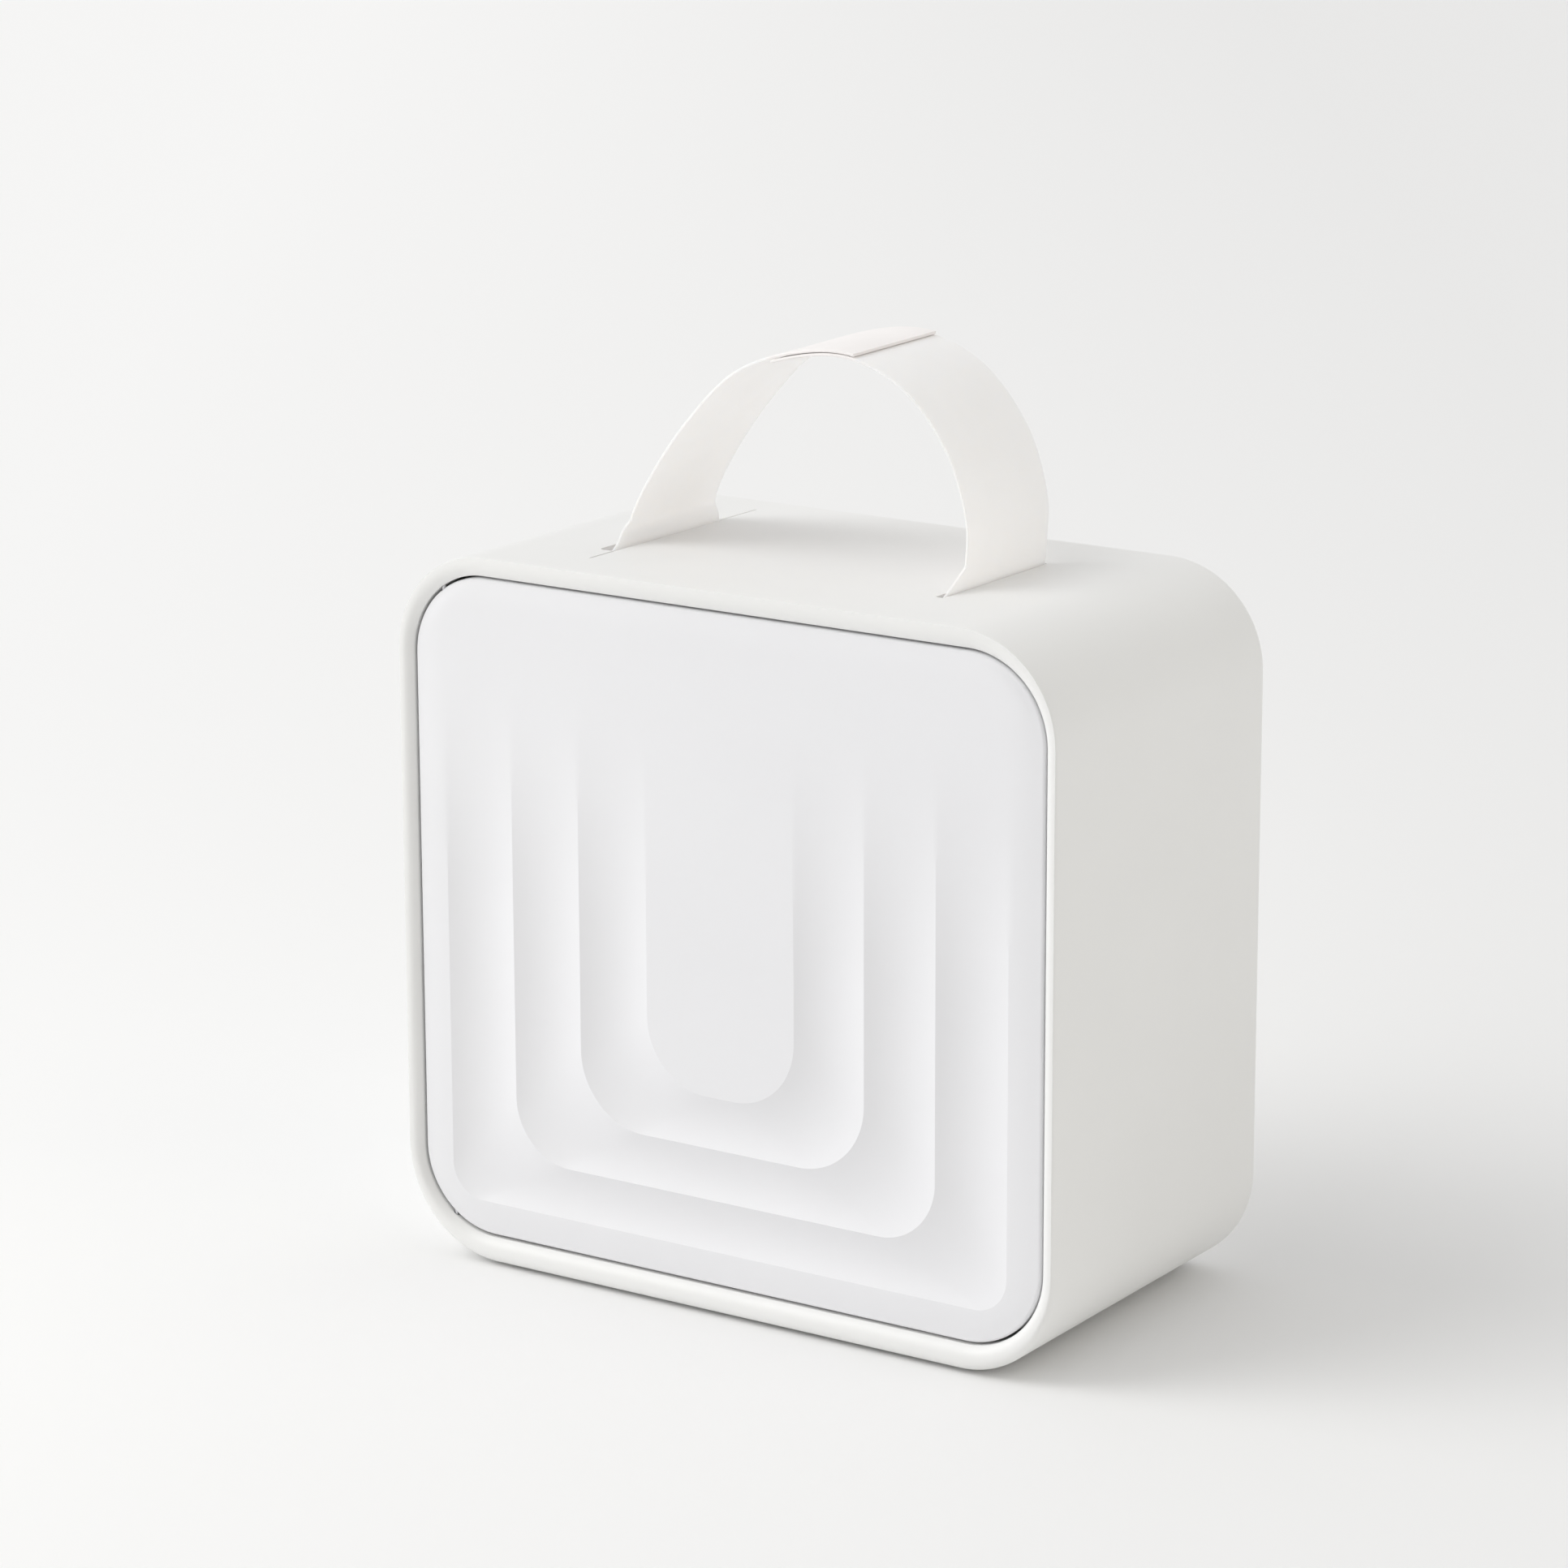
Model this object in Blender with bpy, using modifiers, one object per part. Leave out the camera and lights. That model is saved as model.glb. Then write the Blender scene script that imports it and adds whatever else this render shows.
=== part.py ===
"""Portable mini fridge: rounded casing, fluted inset door, carrying strap, thermoelectric cooler.

Metres, +Z up, front towards -Y, origin on the floor under the middle of the casing.
Depths are measured from the front edge of the casing, heights from its underside.
"""
import math

import bmesh
import bpy
from mathutils import Matrix, Vector

# Casing
WIDTH = 0.2930
DEPTH = 0.1550
HEIGHT = 0.2816
TOP_FALL = 0.0020
CORNER = 0.0405
WALL = 0.0030
FOOT_HEIGHT = 0.0015
FOOT_RADIUS = 0.0075
FOOT_X = 0.0900
FOOT_DEPTHS = (0.0300, 0.1250)

# Gap between touching pieces, and how far a cutter runs past what it cuts
GAP = 0.0003
SPARE = 0.0020

# Front rim: a crest close to the outer faces and a funnel from it down to the door
CREST_SIDE = 0.0005
CREST_TOP = 0.0003
CREST_LOW = 0.0040
CREST_ROUND = 0.0035
RIM_INSET = 0.0054
RIM_DROP = 0.0031
RIM_LOW = 0.0043
RIM_HIGH = 0.0025
POCKET_CORNER = 0.0334
POCKET_DEPTH = 0.0220
BACK_ROUND = 0.0050

# Door
DOOR_GAP = 0.0010
DOOR_FACE = 0.0018
DOOR_THICK = 0.0080
DOOR_CROWN = 0.0010
DOOR_EDGE_ROUND = 0.0013
DOOR_REAR_ROUND = 0.0025
HINGE_INSET = 0.0195
HINGE_DEPTH = 0.0042
PIN_RADIUS = 0.0008
PIN_LENGTH = 0.0140
PIN_IN_RIM = 0.0042

# Flutes: three U-shaped scallops round a flat middle
FLUTES = 3
MIDDLE_HALF = 0.0332
FLUTE_PITCH = 0.0310
FLUTE_RISE = 0.0204
LOWEST_FLUTE = 0.0243
FLUTE_CORNERS = (0.027, 0.029, 0.025, 0.014)
FLUTE_TOP = 0.2440
FLUTE_TOP_STEP = 0.0060
FLUTE_TOP_CORNER = 0.0060
FLUTE_DEPTH = 0.0030
FADE_LOW = 0.1250
FADE_HIGH = 0.2400

# Cabinet behind the door
FLANGE_DEPTH = 0.0182
LINER_WALL = 0.0020
CAVITY_INSET = 0.0300
CAVITY_BACK = 0.0950
CAVITY_CORNER = 0.0100
FOAM_INSET = 0.0085
FOAM_BACK = 0.1080
GASKET_INSET = 0.0190
GASKET_WIDTH = 0.0060
DOOR_FLANGE = 0.0015
PLUG_INSET = 0.0330
PLUG_BACK = 0.0260
PLUG_ROUND = 0.0020
CAVITY_ROUND = 0.0040

# Tray on the door, and the magnet catch
BIN_WIDTH = 0.1760
BIN_LOW = 0.0440
BIN_HEIGHT = 0.0460
BIN_DEPTH = 0.0300
BIN_WALL = 0.0020
CATCH_OUT = 0.0024
CATCH_WIDTH = 0.0036
CATCH_LENGTH = 0.0320
CATCH_PLATE = 0.0010

# Cooler, on one axis through the back wall
COOLER_HEIGHT = 0.1850
WINDOW_SIZE = 0.0520
SINK_BASE = 0.0032
COLD_SINK_SIZE = 0.0720
COLD_SINK_DEPTH = 0.0140
BLOCK_SIZE = 0.0410
MODULE_SIZE = 0.0400
MODULE_THICK = 0.0036
HEAT_SINK_SIZE = 0.0880
HEAT_SINK_DEPTH = 0.0190
FAN_SIZE = 0.0800
FAN_THICK = 0.0150
INNER_FAN_SIZE = 0.0600
INNER_FAN_THICK = 0.0100
INNER_FAN_FRONT = CAVITY_BACK - 0.0270
BLADES = 7
BLADE_TURN = 48
FAN_COVER_SIZE = 0.1000
FAN_COVER_FRONT = 0.0630
SHELF_HEIGHT = 0.1250
SHELF_THICK = 0.0024
RAIL_WIDTH = 0.0060
RAIL_TALL = 0.0040
VENT_PITCH = 0.0080
VENT_HALF = 0.0340
VENT_SLOT = 0.0019

# Rear cover
LEDGE_INSET = 0.0120
LEDGE_WIDTH = 0.0090
LEDGE_THICK = 0.0026
COVER_BACK = DEPTH - 0.0003
COVER_FRONT = DEPTH - 0.0025
SCREW_INSET = 0.0168
SCREW_HEIGHTS = (0.060, 0.220)
SOCKET_HEIGHT = 0.0420
INTAKE_HEIGHT = 0.0950
AC_X = 0.0950
DC_X = 0.0580
SWITCH_X = -0.0950

# Electronics behind the foam
BOARD_INNER = 0.0640
BOARD_OUTER = 0.1240
BOARD_LOW = 0.0900
BOARD_HIGH = 0.2000
BOARD_POST = 0.0040
BOARD_THICK = 0.0016
POST_IN = 0.0100
SUPPLY_DEPTH = 0.0300

# Strap
STRAP_BASE = 0.2815
STRAP_THICK = 0.0012
STRAP_FRONT = 0.0537
STRAP_BACK = 0.1111
ROOT_FRONT = 0.0391
ROOT_HEIGHT = 0.0098
LAYER_STEP = 0.0015
SLOT_LEFT = -0.0789
SLOT_RIGHT = -0.0720
SLOT_SPARE = 0.0010
RIGHT_SLOT_HALF = 0.0018
LINE_FRONT = 0.0226
LINE_BACK = 0.1353
LINE_WIDTH = 0.0008
LINE_DEEP = 0.0006
ANCHOR_OVER = 0.0050
STRAP_ROUTE = ((-73.4, -6.3), (-73.8, 2.0), (-75.0, 9.8), (-65.5, 28.0), (-48.7, 50.7),
               (-27.0, 71.5), (0.0, 81.8), (26.0, 83.4), (50.0, 73.0), (68.0, 52.0),
               (76.5, 28.0), (76.6, 9.0), (75.0, -6.3))
UPPER_SPAN = (0.0, 7.0)
LOWER_SPAN = (5.6, 12.0)

MM = 0.001
FLOOR = FOOT_HEIGHT
TOP = FOOT_HEIGHT + HEIGHT
HINGE_X = -WIDTH / 2 + HINGE_INSET

WHITE = ("casing_white", (0.86, 0.86, 0.85), 0.42, 0.0)
DOOR_WHITE = ("door_white", (0.80, 0.80, 0.82), 0.48, 0.0)
LINER_WHITE = ("liner_white", (0.82, 0.83, 0.84), 0.35, 0.0)
STRAP_CREAM = ("strap_cream", (0.88, 0.86, 0.84), 0.60, 0.0)
FOAM_CREAM = ("foam_cream", (0.80, 0.74, 0.58), 0.95, 0.0)
RUBBER_GREY = ("rubber_grey", (0.42, 0.42, 0.43), 0.75, 0.0)
BLACK = ("plastic_black", (0.03, 0.03, 0.03), 0.50, 0.0)
STEEL = ("steel", (0.62, 0.62, 0.64), 0.30, 1.0)
ALUMINIUM = ("aluminium", (0.75, 0.76, 0.77), 0.35, 1.0)
CERAMIC = ("ceramic_white", (0.85, 0.85, 0.83), 0.60, 0.0)
BOARD_GREEN = ("board_green", (0.03, 0.22, 0.10), 0.55, 0.0)
CLEAR = ("clear_tray", (0.75, 0.82, 0.86), 0.15, 0.0)


def clear_scene():
    for thing in list(bpy.data.objects):
        bpy.data.objects.remove(thing, do_unlink=True)


def collection(name):
    group = bpy.data.collections.new(name)
    bpy.context.scene.collection.children.link(group)
    return group


def material(look):
    name, colour, roughness, metallic = look
    found = bpy.data.materials.get(name)
    if found:
        return found
    made = bpy.data.materials.new(name)
    made.use_nodes = True
    shader = made.node_tree.nodes["Principled BSDF"]
    shader.inputs["Base Color"].default_value = (*colour, 1.0)
    shader.inputs["Roughness"].default_value = roughness
    shader.inputs["Metallic"].default_value = metallic
    return made


def back(depth):
    """World Y of a depth behind the casing's front edge."""
    return depth - DEPTH / 2


def finish(name, bm, look, origin=(0, 0, 0), smooth=True):
    """Turn a bmesh drawn in world places into an object whose origin is at origin."""
    bmesh.ops.recalc_face_normals(bm, faces=bm.faces)
    bmesh.ops.translate(bm, verts=bm.verts, vec=-Vector(origin))
    mesh = bpy.data.meshes.new(name)
    bm.to_mesh(mesh)
    bm.free()
    if smooth:
        mesh.shade_smooth()
        mesh.set_sharp_from_angle(angle=math.radians(32))
    thing = bpy.data.objects.new(name, mesh)
    thing.location = origin
    if look is None:
        thing.display_type = "WIRE"
        thing.hide_render = True
        CUTTERS.objects.link(thing)
    else:
        mesh.materials.append(material(look))
        PARTS.objects.link(thing)
    return thing


def boolean(thing, other, operation="DIFFERENCE"):
    step = thing.modifiers.new(other.name, "BOOLEAN")
    step.operation = operation
    step.object = other


def arc(cx, cz, radius, start, stop, steps):
    return [(cx + radius * math.cos(start + (stop - start) * k / steps),
             cz + radius * math.sin(start + (stop - start) * k / steps)) for k in range(steps + 1)]


def outline(half, low, high, low_corner, high_corner, corner_steps=8, side_steps=1):
    """Points (x, z) round an upright rounded rectangle, from the bottom right corner."""
    quarter = math.pi / 2
    right_low = arc(half - low_corner, low + low_corner, low_corner, -quarter, 0, corner_steps)
    right_high = arc(half - high_corner, high - high_corner, high_corner, 0, quarter, corner_steps)
    side = []
    for k in range(1, side_steps):
        share = k / side_steps
        side.append((half, low + low_corner + share * (high - high_corner - low - low_corner)))
    right = right_low + side + right_high
    return right + [(-x, z) for x, z in reversed(right)]


def at_depth(points, depth):
    return [Vector((x, back(depth), z)) for x, z in points]


def top_at(depth):
    """Height of the top face, which falls a little towards the back."""
    return TOP - TOP_FALL * depth / DEPTH


def body_ring(inset, depth, corner=None, corner_steps=8):
    """The casing's outline drawn in by inset."""
    corner = CORNER - inset if corner is None else corner
    points = outline(WIDTH / 2 - inset, FLOOR + inset, top_at(depth) - inset, corner, corner,
                     corner_steps)
    return at_depth(points, depth)


def crest_ring(degrees):
    """Round the front edge, from the flat outer faces at 0 degrees to the crest at 90."""
    angle = math.radians(degrees)
    share = 1 - math.cos(angle)
    depth = CREST_ROUND * (1 - math.sin(angle))
    corner = CORNER - CREST_SIDE * share
    points = outline(WIDTH / 2 - CREST_SIDE * share, FLOOR + CREST_LOW * share,
                     top_at(depth) - CREST_TOP * share, corner, corner)
    return at_depth(points, depth)


def pocket_ring(inset, depth, corner_steps=8, side_steps=1):
    """The door pocket's outline, drawn in by inset - RIM_INSET."""
    corner = POCKET_CORNER + RIM_INSET - inset
    points = outline(WIDTH / 2 - inset, FLOOR + inset + RIM_LOW, TOP - inset - RIM_HIGH, corner,
                     corner, corner_steps, side_steps)
    return at_depth(points, depth)


def skin(bm, rings, endless=False):
    """Faces between rings of equal length, then a cap on each end or a face strip that closes."""
    loops = [[bm.verts.new(point) for point in ring] for ring in rings]
    pairs = list(zip(loops, loops[1:]))
    if endless:
        pairs.append((loops[-1], loops[0]))
    for one, two in pairs:
        count = len(one)
        for k in range(count):
            after = (k + 1) % count
            bm.faces.new((one[k], one[after], two[after], two[k]))
    if not endless:
        bm.faces.new(loops[0])
        bm.faces.new(loops[-1])


def loft(name, rings, look, origin=(0, 0, 0), endless=False):
    bm = bmesh.new()
    skin(bm, rings, endless)
    return finish(name, bm, look, origin)


def add_box(bm, low, high):
    """A box between two corners given as (x, depth, z)."""
    low = Vector((low[0], back(low[1]), low[2]))
    high = Vector((high[0], back(high[1]), high[2]))
    size = high - low
    place = Matrix.Translation((low + high) / 2) @ Matrix.Diagonal((*size, 1.0))
    bmesh.ops.create_cube(bm, size=1.0, matrix=place)


def box(name, low, high, look, bevel=0.0, origin=(0, 0, 0)):
    bm = bmesh.new()
    add_box(bm, low, high)
    thing = finish(name, bm, look, origin, smooth=False)
    if bevel:
        step = thing.modifiers.new("edges", "BEVEL")
        step.width = bevel
        step.segments = 2
        step.limit_method = "ANGLE"
    return thing


TURNS = {"X": Matrix.Rotation(math.pi / 2, 4, "Y"), "Y": Matrix.Rotation(math.pi / 2, 4, "X"),
         "Z": Matrix.Identity(4)}


def add_cylinder(bm, middle, radius, length, axis, sides=24):
    """A cylinder centred on middle, given as (x, depth, z)."""
    place = Matrix.Translation((middle[0], back(middle[1]), middle[2])) @ TURNS[axis]
    bmesh.ops.create_cone(bm, cap_ends=True, segments=sides, radius1=radius, radius2=radius,
                          depth=length, matrix=place)


def cylinder(name, middle, radius, length, axis, look, sides=24, origin=(0, 0, 0)):
    bm = bmesh.new()
    add_cylinder(bm, middle, radius, length, axis, sides)
    return finish(name, bm, look, origin)


def back_profile():
    """(inset, depth) round the rear edge of the casing."""
    return [(BACK_ROUND * (1 - math.cos(angle)), DEPTH - BACK_ROUND * (1 - math.sin(angle)))
            for angle in (math.pi / 2 * k / 5 for k in range(6))]


def outer_shell():
    ledge_face = COVER_FRONT - GAP
    ledge_back = ledge_face - LEDGE_THICK
    inner = LEDGE_INSET + LEDGE_WIDTH
    rings = [pocket_ring(RIM_INSET, RIM_DROP)]
    rings += [crest_ring(degrees) for degrees in (90, 55, 25, 0)]
    rings += [body_ring(inset, depth) for inset, depth in back_profile()]
    rings += [body_ring(LEDGE_INSET, DEPTH), body_ring(LEDGE_INSET, ledge_face),
              body_ring(inner, ledge_face), body_ring(inner, ledge_back),
              body_ring(WALL, ledge_back), body_ring(WALL, POCKET_DEPTH),
              pocket_ring(RIM_INSET, POCKET_DEPTH)]
    shell = loft("outer_shell", rings, WHITE, endless=True)
    boolean(shell, pin_holes())
    boolean(shell, strap_slots())
    boolean(shell, screw_holes("ledge_holes", 0.0015))
    return shell


def strap_slots():
    """The open slot on the left with its fine line, and the close slot on the right."""
    bm = bmesh.new()
    front, rear = ROOT_FRONT - SLOT_SPARE, STRAP_BACK + SLOT_SPARE
    skin(bm, slot_section(SLOT_LEFT, SLOT_RIGHT, front, rear))
    middle = strap_point(LOWER_SPAN[1], -LAYER_STEP)[0]
    skin(bm, slot_section(middle - RIGHT_SLOT_HALF, middle + RIGHT_SLOT_HALF, front, rear))
    cutter = finish("strap_slots", bm, None)
    line = box("slot_line", (SLOT_RIGHT - LINE_WIDTH / 2, LINE_FRONT, top_at(LINE_BACK) - LINE_DEEP),
               (SLOT_RIGHT + LINE_WIDTH / 2, LINE_BACK, TOP + LINE_DEEP), None)
    boolean(cutter, line, "UNION")
    return cutter


def slot_section(left, right, front, rear):
    """Two rings, above and below the top wall, of a slot with small round corners."""
    middle = (left + right) / 2
    half = (right - left) / 2
    corner = half * 0.6
    points = outline(half, back(front), back(rear), corner, corner, 3)
    return [[Vector((middle + x, y, z)) for x, y in points]
            for z in (top_at(DEPTH) - WALL - SPARE, TOP + SPARE)]


def hinge_pin_span(upper):
    """Lower and upper end of a hinge pin, worked out where the pocket's corner crosses it."""
    across = WIDTH / 2 - RIM_INSET - POCKET_CORNER - abs(HINGE_X)
    rise = math.sqrt(POCKET_CORNER ** 2 - across ** 2)
    if upper:
        edge = TOP - RIM_INSET - RIM_HIGH - POCKET_CORNER + rise
        return edge + PIN_IN_RIM - PIN_LENGTH, edge + PIN_IN_RIM
    edge = FLOOR + RIM_INSET + RIM_LOW + POCKET_CORNER - rise
    return edge - PIN_IN_RIM, edge - PIN_IN_RIM + PIN_LENGTH


def pin_cylinder(bm, upper, extra):
    low, high = hinge_pin_span(upper)
    add_cylinder(bm, (HINGE_X, HINGE_DEPTH, (low + high) / 2), PIN_RADIUS + extra,
                 high - low + 2 * extra, "Z", 16)


def pin_holes():
    found = bpy.data.objects.get("pin_holes")
    if found:
        return found
    bm = bmesh.new()
    for upper in (False, True):
        pin_cylinder(bm, upper, GAP)
    return finish("pin_holes", bm, None)


def hinge_pins():
    """Two short upright pins, half in the rim and half in the door."""
    for name, upper in (("hinge_pin_lower", False), ("hinge_pin_upper", True)):
        bm = bmesh.new()
        pin_cylinder(bm, upper, 0.0)
        finish(name, bm, STEEL)


def feet():
    height = FOOT_HEIGHT - GAP
    for row, depth in zip(("front", "rear"), FOOT_DEPTHS):
        for side, x in (("left", -FOOT_X), ("right", FOOT_X)):
            cylinder(f"foot_{row}_{side}", (x, depth, height / 2), FOOT_RADIUS, height, "Z",
                     RUBBER_GREY)


def fade(z):
    """1 where the flutes are at full depth, 0 above them, smooth between."""
    share = min(max((FADE_HIGH - (z - FLOOR)) / (FADE_HIGH - FADE_LOW), 0.0), 1.0)
    return share * share * (3 - 2 * share)


def cusp_outline(index):
    """The closed outline of one cusp line; its upper part lies where the flutes have faded."""
    low = FLOOR + LOWEST_FLUTE + FLUTE_RISE * (FLUTES - index)
    return outline(MIDDLE_HALF + FLUTE_PITCH * index, low, FLOOR + FLUTE_TOP + FLUTE_TOP_STEP * index,
                   FLUTE_CORNERS[index], FLUTE_TOP_CORNER, 6, 8)


def flute_rings():
    """Rings over the flutes, from the flat middle outwards."""
    rings = [at_depth(cusp_outline(0), DOOR_FACE)]
    for index in range(FLUTES):
        inner, outer = cusp_outline(index), cusp_outline(index + 1)
        for share in (0.14, 0.32, 0.50, 0.68, 0.86, 1.0):
            ring = []
            for (x0, z0), (x1, z1) in zip(inner, outer):
                x, z = x0 + share * (x1 - x0), z0 + share * (z1 - z0)
                dip = FLUTE_DEPTH * 4 * share * (1 - share) * fade(z)
                ring.append(Vector((x, back(DOOR_FACE + dip), z)))
            rings.append(ring)
    return rings


def door_ring(inset, depth):
    """The door's outline, drawn in by inset, with as many points as a cusp outline."""
    return pocket_ring(RIM_INSET + DOOR_GAP + inset, depth, 6, 8)


def door_panel():
    """Flutes, a margin that falls away to a small rounded edge, and a rounded rear edge."""
    edge, rear = DOOR_FACE + DOOR_CROWN, DOOR_FACE + DOOR_THICK
    rings = flute_rings()
    rings.append(door_ring(3 * DOOR_EDGE_ROUND, DOOR_FACE + DOOR_CROWN * 0.6))
    for k in range(4):
        angle = math.pi / 2 * k / 3
        rings.append(door_ring(DOOR_EDGE_ROUND * (1 - math.sin(angle)),
                               edge + DOOR_EDGE_ROUND * (1 - math.cos(angle))))
    for k in range(4):
        angle = math.pi / 2 * k / 3
        rings.append(door_ring(DOOR_REAR_ROUND * (1 - math.cos(angle)),
                               rear - DOOR_REAR_ROUND * (1 - math.sin(angle))))
    panel = loft("door_panel", rings, DOOR_WHITE, hinge_origin())
    boolean(panel, pin_holes())


def hinge_origin():
    return (HINGE_X, back(HINGE_DEPTH), FLOOR)


def door_insides():
    """A dished liner on the back of the door, its foam core and the seal round it."""
    rear = DOOR_FACE + DOOR_THICK + GAP
    flange = rear + DOOR_FLANGE
    outer = GASKET_INSET + GASKET_WIDTH + 2 * GAP
    inner = PLUG_INSET + LINER_WALL
    origin = hinge_origin()
    loft("door_liner", [
        pocket_ring(inner + PLUG_ROUND, PLUG_BACK - LINER_WALL),
        pocket_ring(inner, PLUG_BACK - LINER_WALL - PLUG_ROUND),
        pocket_ring(inner, rear), pocket_ring(outer, rear), pocket_ring(outer, flange),
        pocket_ring(PLUG_INSET, flange), pocket_ring(PLUG_INSET, PLUG_BACK - PLUG_ROUND),
        pocket_ring(PLUG_INSET + PLUG_ROUND, PLUG_BACK)], LINER_WHITE, origin)
    core = inner + 3 * GAP
    core_back = PLUG_BACK - LINER_WALL - PLUG_ROUND - GAP
    loft("door_foam", [pocket_ring(core, rear), pocket_ring(core, core_back)], FOAM_CREAM, origin)
    seal = FLANGE_DEPTH - GAP
    loft("door_gasket", [
        pocket_ring(GASKET_INSET, rear), pocket_ring(GASKET_INSET, seal),
        pocket_ring(GASKET_INSET + GASKET_WIDTH, seal),
        pocket_ring(GASKET_INSET + GASKET_WIDTH, rear)], RUBBER_GREY, origin, endless=True)


def door_bin():
    """An open tray on the inside of the door."""
    half, low, front = BIN_WIDTH / 2, FLOOR + BIN_LOW, PLUG_BACK + GAP
    rear, high, wall = PLUG_BACK + BIN_DEPTH, low + BIN_HEIGHT, BIN_WALL
    tray = box("door_bin", (-half, front, low), (half, rear, high), CLEAR, BIN_WALL * 0.4,
               hinge_origin())
    space = box("bin_space", (-half + wall, front + wall, low + wall),
                (half - wall, rear - wall, high + SPARE), None)
    boolean(tray, space)


def magnet_and_catch():
    """A magnet on the door's flange and the steel plate that it pulls, just inside the seal."""
    x, middle = WIDTH / 2 - CAVITY_INSET + CATCH_OUT, FLOOR + HEIGHT / 2
    half, tall = CATCH_WIDTH / 2, CATCH_LENGTH / 2
    front = DOOR_FACE + DOOR_THICK + DOOR_FLANGE + 2 * GAP
    plate = FLANGE_DEPTH - GAP - CATCH_PLATE
    box("door_magnet", (x - half, front, middle - tall), (x + half, plate - GAP, middle + tall),
        STEEL, origin=hinge_origin())
    box("catch_plate", (x - half, plate, middle - tall), (x + half, FLANGE_DEPTH - GAP, middle + tall),
        STEEL)


def inner_liner():
    rings = [
        body_ring(CAVITY_INSET + CAVITY_ROUND, CAVITY_BACK, CAVITY_CORNER - CAVITY_ROUND, 5),
        body_ring(CAVITY_INSET, CAVITY_BACK - CAVITY_ROUND, corner=CAVITY_CORNER, corner_steps=5),
        body_ring(CAVITY_INSET, FLANGE_DEPTH, corner=CAVITY_CORNER, corner_steps=5),
        pocket_ring(RIM_INSET + GAP, FLANGE_DEPTH, 5),
        pocket_ring(RIM_INSET + GAP, FLANGE_DEPTH + LINER_WALL, 5),
        body_ring(CAVITY_INSET - LINER_WALL, FLANGE_DEPTH + LINER_WALL,
                  corner=CAVITY_CORNER + LINER_WALL, corner_steps=5),
        body_ring(CAVITY_INSET - LINER_WALL, CAVITY_BACK + LINER_WALL,
                  corner=CAVITY_CORNER + LINER_WALL, corner_steps=5)]
    liner = loft("inner_liner", rings, LINER_WHITE)
    boolean(liner, cooler_window())


def foam_insulation():
    inset = CAVITY_INSET - LINER_WALL - GAP
    corner = CAVITY_CORNER + LINER_WALL + GAP
    front = FLANGE_DEPTH + LINER_WALL + GAP
    rings = [
        body_ring(inset, CAVITY_BACK + LINER_WALL + GAP, corner=corner, corner_steps=5),
        body_ring(inset, front, corner=corner, corner_steps=5),
        body_ring(FOAM_INSET + RIM_LOW, front, corner_steps=5),
        body_ring(FOAM_INSET + RIM_LOW, POCKET_DEPTH + 3 * GAP, corner_steps=5),
        body_ring(FOAM_INSET, POCKET_DEPTH + 3 * GAP, corner_steps=5),
        body_ring(FOAM_INSET, FOAM_BACK, corner_steps=5)]
    foam = loft("foam_insulation", rings, FOAM_CREAM)
    boolean(foam, cooler_window())


def cooler_window():
    found = bpy.data.objects.get("cooler_window")
    if found:
        return found
    half, middle = WINDOW_SIZE / 2, FLOOR + COOLER_HEIGHT
    return box("cooler_window", (-half, CAVITY_BACK - SPARE, middle - half),
               (half, FOAM_BACK + SPARE, middle + half), None)


def finned_plate(name, half, base, tips, fins, thickness, look):
    """An extruded heat sink: a base plate and upright fins; tips may lie before or behind it."""
    middle = FLOOR + COOLER_HEIGHT
    towards = 1 if tips > base else -1
    pitch = (2 * half - thickness) / (fins - 1)
    root = base + SINK_BASE * towards
    points = [(half, base), (-half, base)]
    for k in range(fins):
        left = -half + k * pitch
        if k:
            points.append((left, root))
        points += [(left, tips), (left + thickness, tips)]
        if k < fins - 1:
            points.append((left + thickness, root))
    rings = [[Vector((x, back(depth), middle + z)) for x, depth in points] for z in (-half, half)]
    loft(name, rings, look)


def cooler_stack():
    """From inside to outside: cold fins, spacer, cooling module and hot fins; gives their back."""
    middle = FLOOR + COOLER_HEIGHT
    cold_base = CAVITY_BACK - GAP
    finned_plate("cold_sink", COLD_SINK_SIZE / 2, cold_base, cold_base - COLD_SINK_DEPTH, 9, 0.0016,
                 ALUMINIUM)
    block, block_back = BLOCK_SIZE / 2, FOAM_BACK - 3 * GAP
    box("spacer_block", (-block, CAVITY_BACK, middle - block), (block, block_back, middle + block),
        ALUMINIUM, 0.0005)
    module, module_back = MODULE_SIZE / 2, block_back + GAP + MODULE_THICK
    box("thermoelectric_module", (-module, block_back + GAP, middle - module),
        (module, module_back, middle + module), CERAMIC)
    sink_base = module_back + GAP
    sink_back = sink_base + HEAT_SINK_DEPTH
    finned_plate("heat_sink", HEAT_SINK_SIZE / 2, sink_base, sink_back, 13, 0.0014, ALUMINIUM)
    return sink_back


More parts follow.
